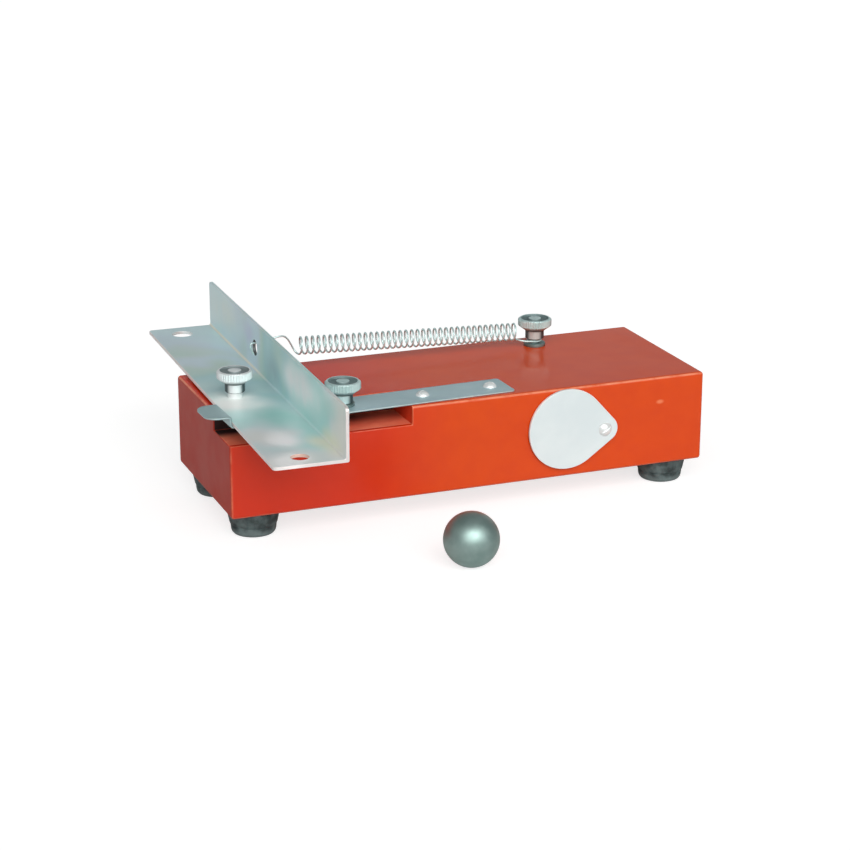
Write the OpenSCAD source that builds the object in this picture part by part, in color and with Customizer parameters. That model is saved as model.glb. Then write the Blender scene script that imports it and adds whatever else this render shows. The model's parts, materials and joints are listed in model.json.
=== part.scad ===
// Falling bodies apparatus: a spring-driven angle plate on a painted block throws one
// ball sideways and lets another drop at the same moment, when a steel leaf is pressed.
// Millimetres, +Z up. The origin is on the bench under the block's centre,
// +X runs along the block away from the plate, +Y runs to the back.

/* [Block] */
// Length of the block
block_l = 235; // [215:1:300]
// Width of the block, front to back
block_w = 85.5; // [80:0.5:120]
// Height of the block
block_h = 43.5; // [40:0.5:60]
// Radius of the block's rounded edges
block_edge_r = 1.6; // [0.5:0.1:3]
// Length of the rebate under the leaf, from the block's left end
rebate_l = 86.5; // [80:0.5:100]
// Depth of the rebate below the block's top
rebate_d = 8.8; // [8:0.1:14]
// Room between the leaf and the rebate's inner wall
rebate_gap = 2.75; // [1:0.05:5]

/* [Feet] */
// Height of a rubber foot
foot_h = 12; // [9:0.5:20]
// Diameter of a foot where it meets the block
foot_top_d = 24; // [20:0.5:27]
// Diameter of a foot at the bench
foot_bottom_d = 20.5; // [16:0.5:22]
// Rounding of a foot's edge at the bench
foot_edge_r = 2; // [0.5:0.1:3]
// Bevel of a foot's edge under the block
foot_bevel = 1; // [0.3:0.1:2]
// Distance from the block's sides to a foot's centre
foot_inset = 14.5; // [14:0.5:20]
// Diameter of a foot screw's shank
foot_screw_d = 4; // [3:0.1:5]
// Diameter of a foot screw's head
foot_screw_head_d = 8; // [6.5:0.1:9]
// Height of a foot screw's head
foot_screw_head_h = 2.8; // [2:0.1:3.5]
// Length of a foot screw in the block
foot_screw_grip = 14; // [8:0.5:18]
// Taper of a foot screw's head across its width
foot_screw_taper = 1.2; // [0.5:0.1:2]
// Width of a foot screw's slot
foot_slot_w = 1.2; // [0.6:0.1:1.6]
// Depth of a foot screw's slot
foot_slot_depth = 1.1; // [0.6:0.1:1.6]
// Clearance of a foot screw's head in its sunk hole
foot_sunk_gap = 0.8; // [0.4:0.1:1.5]

/* [Swinging plate] */
// Distance from the block's left end to the pivot
pivot_inset = 13.3; // [12:0.1:19]
// Distance from the block's centre to the pivot, front to back
pivot_y = -8; // [-12:0.1:5]
// Thickness of the sheet
plate_t = 1.5; // [1:0.1:2]
// Reach of the plate behind the pivot
plate_rear = 120; // [110:0.5:130]
// Reach of the plate in front of the pivot
plate_front = 99.5; // [92:0.5:115]
// Reach of the level flange to the left of the pivot
plate_left = 11.3; // [9:0.1:12.5]
// Distance from the pivot to the upright flange
plate_right = 20.5; // [17:0.1:25]
// Height of the upright flange above the level one
plate_up = 22.7; // [18:0.1:30]
// Inside radius of the bend
bend_r = 1; // [0.5:0.1:2]
// Outside radius of the bend
bend_outer_r = 0.8; // [0.4:0.1:1.4]
// Radius of the plate's corners
plate_corner_r = 2; // [0.5:0.1:4]
// Turn of the cocked plate away from square
plate_skew = 1.35; // [0:0.05:2]
// Diameter of the rear ball seat
rear_seat_d = 10; // [7:0.1:12]
// Diameter of the front ball seat
front_seat_d = 8; // [7:0.1:12]
// Distance from the plate's rear end to the rear seat
rear_seat_inset = 11.7; // [9:0.1:20]
// Distance from the plate's front end to the front seat
front_seat_inset = 9.5; // [8:0.1:20]
// Distance of both seats from the pivot's line, to the right
seat_right = 3.1; // [0:0.1:8]
// Distance from the pivot to the spring's hole, along the plate
spring_hole_rear = 38; // [30:0.5:45]
// Height of the spring's hole above the level flange
spring_hole_up = 10.7; // [9:0.1:14]
// Diameter of the spring's hole
spring_hole_d = 7.4; // [5:0.1:8]

/* [Pivot] */
// Thickness of the washer under the plate
washer_t = 1.2; // [1.1:0.05:2]
// Diameter of the washer under the plate
washer_d = 12; // [9:0.1:16]
// Outside diameter of the pivot sleeve
bush_d = 6.8; // [5.2:0.1:7.4]
// Length of the sleeve above the plate
bush_proud = 2.7; // [0.5:0.1:4]
// Radial running clearance of the plate on its sleeve
bush_fit = 0.06; // [0.03:0.01:0.1]

/* [Knurled screws] */
// Diameter of the knurled head
head_d = 16.5; // [14:0.1:18]
// Height of the knurled rim
head_rim_h = 4.2; // [3:0.1:6]
// Number of knurls round the rim
knurls = 40; // [24:1:60]
// Depth of a knurl
knurl_depth = 0.4; // [0.2:0.05:0.8]
// Depth of the ring sunk in the head's top
head_dish = 1; // [0.4:0.1:2]
// Height of the cone under the rim
head_cone_h = 1.8; // [0.5:0.1:3]
// Bevel of the rim's edges
head_bevel = 0.5; // [0.2:0.05:0.8]
// Width of the raised rim round the sunk ring
head_wall = 1.6; // [1:0.1:2.5]
// Diameter of the boss inside the sunk ring
head_boss_d = 6.4; // [3:0.1:7]
// Diameter of the neck under the head
neck_d = 9.2; // [7.6:0.1:10]
// Height of the neck
neck_h = 4.2; // [2:0.1:6]
// Diameter of the threaded shank
shank_d = 4; // [3.4:0.1:4.4]
// Length of the shank in the block
shank_grip = 11; // [8:0.5:14]
// Radial clearance round the shank
shank_fit = 0.1; // [0.05:0.01:0.1]
// Outside diameter of a threaded insert
insert_d = 7; // [6.2:0.1:9]
// Length of a threaded insert
insert_l = 9; // [6:0.5:12]

/* [Trigger] */
// Width of the leaf
leaf_w = 20; // [16:0.5:22]
// Thickness of the leaf
leaf_t = 0.8; // [0.5:0.05:0.9]
// Length of the leaf on the block, beyond the rebate
leaf_root_l = 52; // [46:0.5:80]
// Distance from the leaf's front edge to the block's front face at its fixed end
leaf_front = 1.75; // [1.5:0.05:6]
// Turn of the leaf away from the block's front edge
leaf_skew = 2; // [0:0.1:2.5]
// Rise of the catch tab above the leaf
catch_h = 4.7; // [3:0.1:6]
// Length of the catch tab
catch_l = 11; // [8:0.1:14]
// Clearance between the catch and the plate
catch_gap = 0.3; // [0.2:0.05:0.6]
// Radius of the catch tab's corners
catch_r = 6; // [2:0.1:8]
// Radius of the corners at the leaf's fixed end
leaf_root_r = 1.5; // [0.5:0.1:4]
// Distance from the rebate's end to the knob
knob_reach = 29.7; // [24:0.1:40]
// Distance from the rebate's end to the first leaf screw
leaf_screw_first = 9.5; // [6:0.1:14]
// Distance between the leaf screws
leaf_screw_pitch = 34; // [24:0.1:36]
// Diameter of a leaf screw's head
leaf_screw_head_d = 6.4; // [4.4:0.1:7]
// Height of a leaf screw's head
leaf_screw_head_h = 2.1; // [1:0.1:2.5]
// Diameter of a leaf screw's shank
leaf_screw_d = 3; // [2:0.1:3.5]
// Width of a leaf screw's slot
leaf_slot_w = 0.8; // [0.5:0.1:1.2]
// Length of a leaf screw in the block
leaf_screw_grip = 10; // [6:0.5:14]
// Width of the knob's nut across its flats
nut_flats = 7; // [6.4:0.1:8]
// Thickness of the knob's nut
nut_t = 2.6; // [1.8:0.1:3.2]
// Length of the knob's thread below its nut
nut_proud = 0.8; // [0.2:0.1:1.5]
// Thickness of the collars under the knob and on the spring post
collar_t = 1.6; // [1:0.1:2.5]
// Diameter of the collars
collar_d = 10.6; // [9:0.1:13]

/* [Spring] */
// Distance from the block's right end to the spring post
post_inset = 56.9; // [30:0.1:70]
// Distance from the block's rear face to the spring post
post_rear = 14.85; // [12:0.05:19]
// Diameter of the wire
wire_d = 0.9; // [0.7:0.05:1.1]
// Outside diameter of the coil
coil_d = 9; // [7.5:0.1:10]
// Number of curls
curls = 38; // [20:1:42]
// Height of the coil's axis above the block at the post's end
coil_z_post = 7.8; // [6.5:0.1:10]
// Height of the coil's axis above the block at the plate's end
coil_z_plate = 12.2; // [10:0.1:14]
// Distance from the post to the first curl
coil_start = 9.6; // [8:0.1:14]
// Distance from the last curl to the plate's hole
coil_end_gap = 20.5; // [18:0.1:24]
// Inside diameter of the loop round the post
post_loop_d = 5.2; // [5:0.1:7]
// Clearance above and below the loop
loop_gap = 0.65; // [0.3:0.05:1.5]
// Distance from the last curl to the arch's top
arch_reach = 8.2; // [7:0.1:10]
// Rise of the arch above the coil's wire
arch_up = 1.6; // [0.5:0.1:3]
// Shift of the arch to the side
arch_side = 0.6; // [0:0.1:2]
// Bend radius of the hook in the plate
plate_hook_r = 1.2; // [1:0.1:2]
// Distance from the plate to the hook's bend
hook_out = 1; // [0.5:0.1:2]
// Turn of the hook
hook_turn = 110; // [105:1:120]
// Clearance between the wire and the top of its hole
hook_drop = 1; // [0.3:0.05:1.5]
// Clearance between the hook's tip and the plate
hook_gap = 0.3; // [0.2:0.05:0.8]

/* [Ball store] */
// Diameter of a ball
ball_d = 25; // [20:0.5:26]
// Clearance round a ball in its store
store_gap = 1; // [0.6:0.1:2]
// Depth of the store
store_l = 56; // [52:0.5:70]
// Distance from the block's centre to the store's axis
store_x = 45.7; // [35:0.1:60]
// Radius of the cover's round end
cover_r = 19.4; // [17:0.1:20]
// Radius of the cover's narrow end
cover_tip_r = 6.5; // [5:0.1:8]
// Distance from the cover's screw to the store's axis
cover_arm = 19.4; // [19:0.1:24]
// Thickness of the cover
cover_t = 1.5; // [1:0.1:3]
// Lift of the cover's round end above level
cover_tilt = 6.3; // [0:0.1:8]
// Thickness of the washer behind the cover
cover_washer_t = 0.5; // [0.3:0.05:1]
// Diameter of the washer behind the cover
cover_washer_d = 8.4; // [6:0.1:11]
// Diameter of the cover screw's shank
cover_screw_d = 3.5; // [2.5:0.1:4]
// Diameter of the cover screw's head
cover_screw_head_d = 6.8; // [5.8:0.1:8]
// Height of the cover screw's head
cover_screw_head_h = 1.9; // [1.2:0.1:3]
// Width of the cover screw's slot
cover_slot_w = 0.9; // [0.6:0.1:1.4]
// Play of the cover under its screw's head
cover_play = 0.1; // [0.05:0.05:0.3]
// Length of the cover screw in the block
cover_screw_grip = 14; // [8:0.5:18]

/* [Balls] */
// Place of the loose ball along the block
ball_x = -27; // [-60:0.5:100]
// Distance from the block's front face to the loose ball's centre
ball_front = 60.9; // [40:0.1:120]

/* [Hidden] */
$fn = 64;

// Clearances between pieces that are screwed or pressed together
seat_fit = 0.05;
// Depth of a screw's hole beyond its tip
hole_extra = 1;
// Overlap of cutting tools past a face
cut = 1;
// Overlap of a shank into its head
overlap = 0.2;
// Depth of a slot in a round head, as a share of the head's height
slot_share = 0.45;
// Clearance of the stored ball from the store's wall
ball_rest = 0.3;

// The block's faces, and the places measured from them
top_z = foot_h + block_h;
front_y = -block_w / 2;
left_x = -block_l / 2;
pivot_x = left_x + pivot_inset;
post_x = block_l / 2 - post_inset;
post_y = block_w / 2 - post_rear;
foot_x = block_l / 2 - foot_inset;
foot_y = block_w / 2 - foot_inset;

// The leaf: s runs along it to the left from the rebate's end
root_x = left_x + rebate_l;
leaf_y = front_y + leaf_front + leaf_w / 2;
plate_z = top_z + washer_t;
plate_top_z = plate_z + plate_t;
leaf_dir = [-cos(leaf_skew), -sin(leaf_skew)];
rebate_w = leaf_front + leaf_w + rebate_gap;

// The catch's riser stands catch_gap from the plate's left edge at the leaf's front edge
catch_s = (root_x - pivot_x + catch_gap + leaf_w / 2 * sin(leaf_skew)
    + plate_left / cos(plate_skew)
    + (pivot_y - leaf_y + leaf_w / 2 * cos(leaf_skew)) * tan(plate_skew))
    / (cos(leaf_skew) - sin(leaf_skew) * tan(plate_skew));

// The screws' heads
head_h = head_rim_h + head_cone_h + neck_h;
bush_h = washer_t + plate_t + bush_proud;

// The cover
cover_z = foot_h + block_h / 2;
cover_x = store_x + cover_arm;

// The spring runs in an upright plane from the post to the plate's hole
hole_x = pivot_x + spring_hole_rear * sin(plate_skew) + (plate_right + plate_t / 2) * cos(plate_skew);
hole_y = pivot_y + spring_hole_rear * cos(plate_skew) - (plate_right + plate_t / 2) * sin(plate_skew);
hole_z = plate_top_z + spring_hole_up;
spring_l = norm([hole_x - post_x, hole_y - post_y]);
spring_turn = atan2(hole_y - post_y, hole_x - post_x);
coil_r = (coil_d - wire_d) / 2;
loop_r = (post_loop_d + wire_d) / 2;
rings_per_curl = 8;
wire_sides = 6;

// A place on the leaf, s to the left of the rebate's end, as [x, y]
function leaf_place(s) = [root_x, leaf_y] + s * leaf_dir;

// A point on a cubic curve that leaves a towards b and reaches d from c
function curve_point(a, b, c, d, t) =
    pow(1 - t, 3) * a + 3 * t * pow(1 - t, 2) * b + 3 * t * t * (1 - t) * c + pow(t, 3) * d;

function curve(a, b, c, d, steps) =
    [for (i = [1:steps - 1]) curve_point(a, b, c, d, i / steps)];

// The wire's centreline in the spring's plane: x from the post to the plate, y across,
// z above the block. The loop round the post starts loop_open degrees past the post.
loop_open = 60;
loop_steps = 16;
loop_turn = 270 - loop_open;
loop_z = collar_t + loop_gap + wire_d / 2;
loop_end = [loop_r * cos(loop_open), -loop_r * sin(loop_open), loop_z];
loop_end_dir = [sin(loop_open), cos(loop_open), 0];
coil_lead = spring_l - coil_start - coil_end_gap;
coil_first = [coil_start, 0, coil_z_post - coil_r];
coil_last = [coil_start + coil_lead, 0, coil_z_plate - coil_r];
arch_top = coil_last + [arch_reach, arch_side, 2 * coil_r + arch_up];
hook_z = hole_z - top_z + spring_hole_d / 2 - wire_d / 2 - hook_drop;
hook_end = 90 - hook_turn;
sheet_near = spring_l - plate_t / 2;
sheet_far = spring_l + plate_t / 2;
hook_x = sheet_far + hook_out;
hook_steps = 10;

// The hook's tail runs back to the plate, hook_gap short of it
bend_end = [hook_x + plate_hook_r * cos(hook_end), 0,
    hook_z - plate_hook_r * (1 - sin(hook_end))];
tail_l = (bend_end[0] - sheet_far - hook_gap - wire_d / 2) / sin(-hook_end);
hook_tip = bend_end + tail_l * [sin(hook_end), 0, -cos(hook_end)];

// Handles of the curves between the loop, the coil, the arch and the plate's hole
loop_handle = [coil_start / 2, 0, 0];
coil_start_handle = [-0.6, 0.6 * coil_r, 0];
coil_end_handle = [1.5, -1.2 * coil_r, 0];
arch_rise_handle = [-4.6, -1.6, -0.4];
arch_fall_handle = [3.6, 0.4, 0.3];
hole_handle = [-4, 0, 0];

post_loop = [
    loop_end + 2 * wire_d * loop_end_dir,
    loop_end + wire_d * loop_end_dir,
    for (i = [0:loop_steps]) let (a = -loop_open - i * loop_turn / loop_steps)
        [loop_r * cos(a), loop_r * sin(a), loop_z]];
post_rise = curve([0, loop_r, loop_z], [0, loop_r, loop_z] + loop_handle,
    coil_first + coil_start_handle, coil_first, 7);
coil = [for (i = [0:curls * rings_per_curl]) let (t = i / (curls * rings_per_curl),
        a = -90 - 360 * i / rings_per_curl)
    [coil_start + t * coil_lead, coil_r * cos(a),
        coil_z_post + t * (coil_z_plate - coil_z_post) + coil_r * sin(a)]];
arch_rise = curve(coil_last, coil_last + coil_end_handle,
    arch_top + arch_rise_handle, arch_top, 9);
hole_entry = [sheet_near - wire_d, 0, hook_z];
arch_fall = curve(arch_top, arch_top + arch_fall_handle,
    hole_entry + hole_handle, hole_entry, 7);
plate_hook = [
    hole_entry,
    [hook_x, 0, hook_z],
    for (i = [1:hook_steps]) let (a = 90 - i * hook_turn / hook_steps)
        [hook_x + plate_hook_r * cos(a), 0, hook_z - plate_hook_r * (1 - sin(a))],
    hook_tip];
wire_line = concat(post_loop, post_rise, coil, arch_rise, [arch_top], arch_fall, plate_hook);

// The wire's sections: each frame is carried along the line with the least twist
function unit(v) = v / norm(v);
function line_dir(p, i) =
    unit(p[min(i + 1, len(p) - 1)] - p[max(i - 1, 0)]);
function carried(side, dir) = unit(side - (side * dir) * dir);
function wire_sides_of(p) = [
    for (i = 0, side = carried([0, 0, 1], line_dir(p, 0)); i < len(p);
        i = i + 1, side = i < len(p) ? carried(side, line_dir(p, i)) : side) side];
function wire_points(p, r, n) = let (s = wire_sides_of(p)) [
    for (i = [0:len(p) - 1]) let (d = line_dir(p, i), u = s[i], v = cross(d, u))
        for (k = [0:n - 1]) p[i] + r * (cos(360 * k / n) * u + sin(360 * k / n) * v)];
function wire_faces(m, n) = concat(
    [for (k = [1:n - 2]) [0, k, k + 1]],
    [for (i = [0:m - 2]) for (k = [0:n - 1]) each let (a = i * n + k,
        b = i * n + (k + 1) % n) [[a, a + n, b + n], [a, b + n, b]]],
    [for (k = [1:n - 2]) [(m - 1) * n, (m - 1) * n + k + 1, (m - 1) * n + k]]);

// The least gap of the wire to itself, between points more than six rings apart
function least_gap(p, r, apart) = min([for (i = [0:len(p) - 1 - apart])
    min([for (j = [i + apart:min(len(p) - 1, i + 4 * rings_per_curl)])
        norm(p[i] - p[j])])]) - 2 * r;

// A square prism with its twelve edges rounded
module rounded_block(size, r) {
    intersection() {
        linear_extrude(size[2]) rounded_rect([size[0], size[1]], r);
        translate([0, size[1] / 2, size[2] / 2]) rotate([90, 0, 0])
            linear_extrude(size[1]) rounded_rect([size[0], size[2]], r);
        translate([-size[0] / 2, 0, size[2] / 2]) rotate([90, 0, 90])
            linear_extrude(size[0]) rounded_rect([size[1], size[2]], r);
    }
}

module rounded_rect(size, r) {
    square([size[0] - 2 * r, size[1]], center = true);
    square([size[0], size[1] - 2 * r], center = true);
    for (x = [-1, 1], y = [-1, 1])
        translate([x * (size[0] / 2 - r), y * (size[1] / 2 - r)]) circle(r);
}

module ring(outer_d, inner_d, h) {
    difference() {
        cylinder(h = h, d = outer_d);
        translate([0, 0, -cut]) cylinder(h = h + 2 * cut, d = inner_d);
    }
}

module at_feet() {
    for (x = [-1, 1], y = [-1, 1]) translate([x * foot_x, y * foot_y, 0]) children();
}

module at_leaf_screws() {
    for (i = [0, 1])
        translate(concat(leaf_place(-leaf_screw_first - i * leaf_screw_pitch), [0])) children();
}

module insert_hole() {
    translate([0, 0, -insert_l]) cylinder(h = insert_l + cut, d = insert_d + 2 * seat_fit);
    translate([0, 0, -shank_grip - hole_extra])
        cylinder(h = shank_grip, d = shank_d + 2 * shank_fit);
}

module base_block() {
    color([0.86, 0.27, 0.10]) difference() {
        translate([0, 0, foot_h]) rounded_block([block_l, block_w, block_h], block_edge_r);
        translate([left_x - cut, front_y - cut, top_z - rebate_d])
            cube([rebate_l + cut, rebate_w + cut, rebate_d + cut]);
        translate([store_x, front_y - cut, cover_z]) rotate([-90, 0, 0])
            cylinder(h = store_l + cut, d = ball_d + 2 * store_gap);
        translate([pivot_x, pivot_y, top_z]) insert_hole();
        translate([post_x, post_y, top_z]) insert_hole();
        at_feet() translate([0, 0, foot_h - cut])
            cylinder(h = foot_screw_grip + hole_extra + cut, d = foot_screw_d + 2 * seat_fit);
        at_leaf_screws() translate([0, 0, top_z - leaf_screw_grip - hole_extra])
            cylinder(h = leaf_screw_grip + hole_extra + cut, d = leaf_screw_d + 2 * seat_fit);
        translate([cover_x, front_y - cut, cover_z]) rotate([-90, 0, 0])
            cylinder(h = cover_screw_grip + hole_extra + cut, d = cover_screw_d + 2 * seat_fit);
    }
}

// A rubber foot with a sunk hole for its screw
module foot(x, y) {
    r_top = foot_top_d / 2;
    r_low = foot_bottom_d / 2;
    sunk_r = foot_screw_head_d / 2 + foot_sunk_gap;
    hole_r = foot_screw_d / 2 + seat_fit;
    sunk_h = foot_h / 2;
    color([0.22, 0.23, 0.24]) translate([x * foot_x, y * foot_y, 0]) rotate_extrude()
        difference() {
            union() {
                polygon([[0, 0], [r_low - foot_edge_r, 0], [r_low, foot_edge_r],
                    [r_top, foot_h - 2 * foot_bevel], [r_top, foot_h - foot_bevel],
                    [r_top - foot_bevel, foot_h], [0, foot_h]]);
                intersection() {
                    translate([r_low - foot_edge_r, foot_edge_r]) circle(foot_edge_r);
                    square([r_low, foot_edge_r]);
                }
            }
            translate([-cut, -cut]) square([sunk_r + cut, sunk_h + cut]);
            translate([-cut, -cut]) square([hole_r + cut, foot_h + 2 * cut]);
        }
}

module foot_front_left() { foot(-1, -1); }
module foot_front_right() { foot(1, -1); }
module foot_rear_left() { foot(-1, 1); }
module foot_rear_right() { foot(1, 1); }

module foot_screws() {
    color([0.75, 0.75, 0.72]) at_feet() translate([0, 0, foot_h / 2]) difference() {
        union() {
            translate([0, 0, -foot_screw_head_h])
                cylinder(h = foot_screw_head_h, d1 = foot_screw_head_d - foot_screw_taper,
                    d2 = foot_screw_head_d);
            cylinder(h = foot_h / 2 + foot_screw_grip, d = foot_screw_d);
        }
        translate([-foot_screw_head_d, -foot_slot_w / 2, -foot_screw_head_h - cut])
            cube([2 * foot_screw_head_d, foot_slot_w, cut + foot_slot_depth]);
    }
}

// The plate's section across: level flange to the left, upright flange to the right. It is
// a rolled angle, with its outer corner nearly sharp and a fillet inside.
module plate_section() {
    translate([-plate_left, 0])
        square([plate_left + plate_right + plate_t - bend_outer_r, plate_t]);
    translate([plate_right, bend_outer_r])
        square([plate_t, plate_t + plate_up - bend_outer_r]);
    translate([plate_right + plate_t - bend_outer_r, bend_outer_r]) circle(bend_outer_r);
    translate([plate_right - bend_r, plate_t]) difference() {
        square(bend_r);
        translate([0, bend_r]) circle(bend_r);
    }
}

// Removes the square corner of a flange: one quarter of a rounded corner
module corner_cut(r, h) {
    difference() {
        translate([-cut, -cut, -cut]) cube([r + cut, r + cut, h + 2 * cut]);
        translate([r, r, -2 * cut]) cylinder(h = h + 4 * cut, r = r);
    }
}

module swing_plate() {
    color([0.72, 0.78, 0.77]) translate([pivot_x, pivot_y, plate_z]) rotate([0, 0, -plate_skew])
        difference() {
            translate([0, plate_rear, 0]) rotate([90, 0, 0])
                linear_extrude(plate_rear + plate_front) plate_section();
            translate([0, 0, -cut]) cylinder(h = plate_t + 2 * cut, d = bush_d + 2 * bush_fit);
            translate([seat_right, plate_rear - rear_seat_inset, -cut])
                cylinder(h = plate_t + 2 * cut, d = rear_seat_d);
            translate([seat_right, front_seat_inset - plate_front, -cut])
                cylinder(h = plate_t + 2 * cut, d = front_seat_d);
            translate([plate_right - cut, spring_hole_rear, plate_t + spring_hole_up])
                rotate([0, 90, 0]) cylinder(h = plate_t + 2 * cut, d = spring_hole_d);
            translate([-plate_left, -plate_front, 0]) corner_cut(plate_corner_r, plate_t);
            translate([-plate_left, plate_rear, 0]) mirror([0, 1, 0])
                corner_cut(plate_corner_r, plate_t);
            translate([plate_right, -plate_front, plate_t + plate_up]) rotate([0, 90, 0])
                corner_cut(plate_corner_r, plate_t);
            translate([plate_right, plate_rear, plate_t + plate_up]) mirror([0, 1, 0])
                rotate([0, 90, 0]) corner_cut(plate_corner_r, plate_t);
        }
}

module plate_washer() {
    color([0.80, 0.80, 0.78]) translate([pivot_x, pivot_y, top_z])
        ring(washer_d, bush_d + 2 * bush_fit, washer_t);
}

module pivot_bush() {
    color([0.82, 0.83, 0.84]) translate([pivot_x, pivot_y, top_z])
        ring(bush_d, shank_d + 2 * shank_fit, bush_h);
}

module insert() {
    color([0.80, 0.62, 0.30]) translate([0, 0, -insert_l])
        ring(insert_d, shank_d + 2 * shank_fit, insert_l);
}

module pivot_insert() { translate([pivot_x, pivot_y, top_z]) insert(); }
module post_insert() { translate([post_x, post_y, top_z]) insert(); }

// A knurled screw whose neck seats at z = 0, with its shank reaching down. The knurls
// are ridges that stand knurl_depth proud of a bevelled disc.
module knurled_screw(reach) {
    rim_z = neck_h + head_cone_h;
    rim_r = head_d / 2;
    disc_r = rim_r - knurl_depth;
    valley_r = disc_r - knurl_depth;
    color([0.84, 0.86, 0.87]) {
        translate([0, 0, -reach]) cylinder(h = reach + cut, d = shank_d);
        cylinder(h = neck_h + cut, d = neck_d);
        difference() {
            union() {
                translate([0, 0, neck_h])
                    cylinder(h = head_cone_h, d1 = neck_d, r2 = disc_r - head_bevel);
                translate([0, 0, rim_z]) rotate_extrude() polygon([[0, 0],
                    [disc_r - head_bevel, 0], [disc_r, head_bevel],
                    [disc_r, head_rim_h - head_bevel], [disc_r - head_bevel, head_rim_h],
                    [0, head_rim_h]]);
                translate([0, 0, rim_z + head_bevel])
                    linear_extrude(head_rim_h - 2 * head_bevel)
                    polygon([for (i = [0:2 * knurls - 1]) let (a = 180 * i / knurls)
                        (i % 2 == 0 ? rim_r : valley_r) * [cos(a), sin(a)]]);
            }
            translate([0, 0, head_h - head_dish])
                ring(head_d - 2 * head_wall, head_boss_d, head_dish + cut);
        }
    }
}

module pivot_screw() {
    translate([pivot_x, pivot_y, top_z + bush_h]) knurled_screw(bush_h + shank_grip);
}

module spring_post() {
    loop_room = wire_d + 2 * loop_gap;
    translate([post_x, post_y, top_z + collar_t + loop_room])
        knurled_screw(collar_t + loop_room + shank_grip);
}

module collar() {
    color([0.72, 0.76, 0.74]) ring(collar_d, shank_d + 2 * shank_fit, collar_t);
}

module post_collar() { translate([post_x, post_y, top_z]) collar(); }

module knob_collar() {
    translate(concat(leaf_place(knob_reach), [top_z + leaf_t])) collar();
}

module trigger_knob() {
    translate(concat(leaf_place(knob_reach), [top_z + leaf_t + collar_t]))
        knurled_screw(collar_t + leaf_t + nut_t + nut_proud);
}

module trigger_nut() {
    color([0.80, 0.80, 0.78]) translate(concat(leaf_place(knob_reach), [top_z - nut_t]))
        difference() {
            cylinder(h = nut_t, d = nut_flats / cos(30), $fn = 6);
            translate([0, 0, -cut]) cylinder(h = nut_t + 2 * cut, d = shank_d + 2 * shank_fit);
        }
}

// The leaf seen from the front: flat, then stepped up into the catch tab at its left end
module leaf_section() {
    polygon([[leaf_root_l, 0], [leaf_root_l, leaf_t], [-catch_s, leaf_t],
        [-catch_s, catch_h + leaf_t], [-catch_s - catch_l, catch_h + leaf_t],
        [-catch_s - catch_l, catch_h], [-catch_s - leaf_t, catch_h],
        [-catch_s - leaf_t, 0]]);
}

// Removes a corner of the leaf, turned so that it points into the leaf
module leaf_corner_cut(x, y, turn, r) {
    translate([x, y, 0]) rotate([0, 0, turn]) corner_cut(r, catch_h + leaf_t);
}

module trigger_strip() {
    color([0.62, 0.68, 0.70]) translate([root_x, leaf_y, top_z]) rotate([0, 0, leaf_skew])
        difference() {
            translate([0, leaf_w / 2, 0]) rotate([90, 0, 0]) linear_extrude(leaf_w)
                leaf_section();
            for (y = [-1, 1]) {
                leaf_corner_cut(-catch_s - catch_l, y * leaf_w / 2, -45 - 45 * y, catch_r);
                leaf_corner_cut(leaf_root_l, y * leaf_w / 2, 135 + 45 * y, leaf_root_r);
            }
            translate([-knob_reach, 0, -cut])
                cylinder(h = leaf_t + 2 * cut, d = shank_d + 2 * shank_fit);
            for (i = [0, 1])
                translate([leaf_screw_first + i * leaf_screw_pitch, 0, -cut])
                    cylinder(h = leaf_t + 2 * cut, d = leaf_screw_d + 2 * seat_fit);
        }
}

// A slotted round head that seats at z = 0
module dome_head(d, h, slot_w) {
    dome_r = (d * d / 4 + h * h) / (2 * h);
    difference() {
        intersection() {
            translate([0, 0, h - dome_r]) sphere(dome_r);
            cylinder(h = h + cut, d = d);
        }
        translate([-d, -slot_w / 2, h * (1 - slot_share)]) cube([2 * d, slot_w, h]);
    }
}

module strip_screws() {
    color([0.88, 0.88, 0.86]) at_leaf_screws() {
        translate([0, 0, top_z + leaf_t]) dome_head(leaf_screw_head_d, leaf_screw_head_h, leaf_slot_w);
        translate([0, 0, top_z - leaf_screw_grip])
            cylinder(h = leaf_screw_grip + leaf_t + overlap, d = leaf_screw_d);
    }
}

module spring() {
    color([0.80, 0.82, 0.82]) translate([post_x, post_y, top_z]) rotate([0, 0, spring_turn])
        polyhedron(wire_points(wire_line, wire_d / 2, wire_sides),
            wire_faces(len(wire_line), wire_sides), convexity = 10);
}

// The cover about its screw, round end towards -X. Its straight sides run
// side_inset inside both rounds, so that they cross them.
module cover_blank() {
    side_inset = 0.02;
    big_r = cover_r - side_inset;
    tip_r = cover_tip_r - side_inset;
    touch = acos((big_r - tip_r) / cover_arm);
    translate([-cover_arm, 0, 0]) cylinder(h = cover_t, r = cover_r, $fn = 96);
    cylinder(h = cover_t, r = cover_tip_r);
    linear_extrude(cover_t) polygon([
        [-cover_arm, 0],
        [-cover_arm + big_r * cos(touch), big_r * sin(touch)],
        [tip_r * cos(touch), tip_r * sin(touch)],
        [0, 0],
        [tip_r * cos(touch), -tip_r * sin(touch)],
        [-cover_arm + big_r * cos(touch), -big_r * sin(touch)]]);
}

module at_cover_screw() {
    translate([cover_x, front_y, cover_z]) rotate([90, 0, 0]) children();
}

module storage_cover() {
    color([0.90, 0.91, 0.90]) at_cover_screw() translate([0, 0, cover_washer_t])
        rotate([0, 0, -cover_tilt]) difference() {
            union() cover_blank();
            translate([0, 0, -cut]) cylinder(h = cover_t + 2 * cut, d = cover_screw_d + 2 * bush_fit);
        }
}

module cover_washer() {
    color([0.75, 0.75, 0.72]) at_cover_screw()
        ring(cover_washer_d, cover_screw_d + 2 * seat_fit, cover_washer_t);
}

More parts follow.
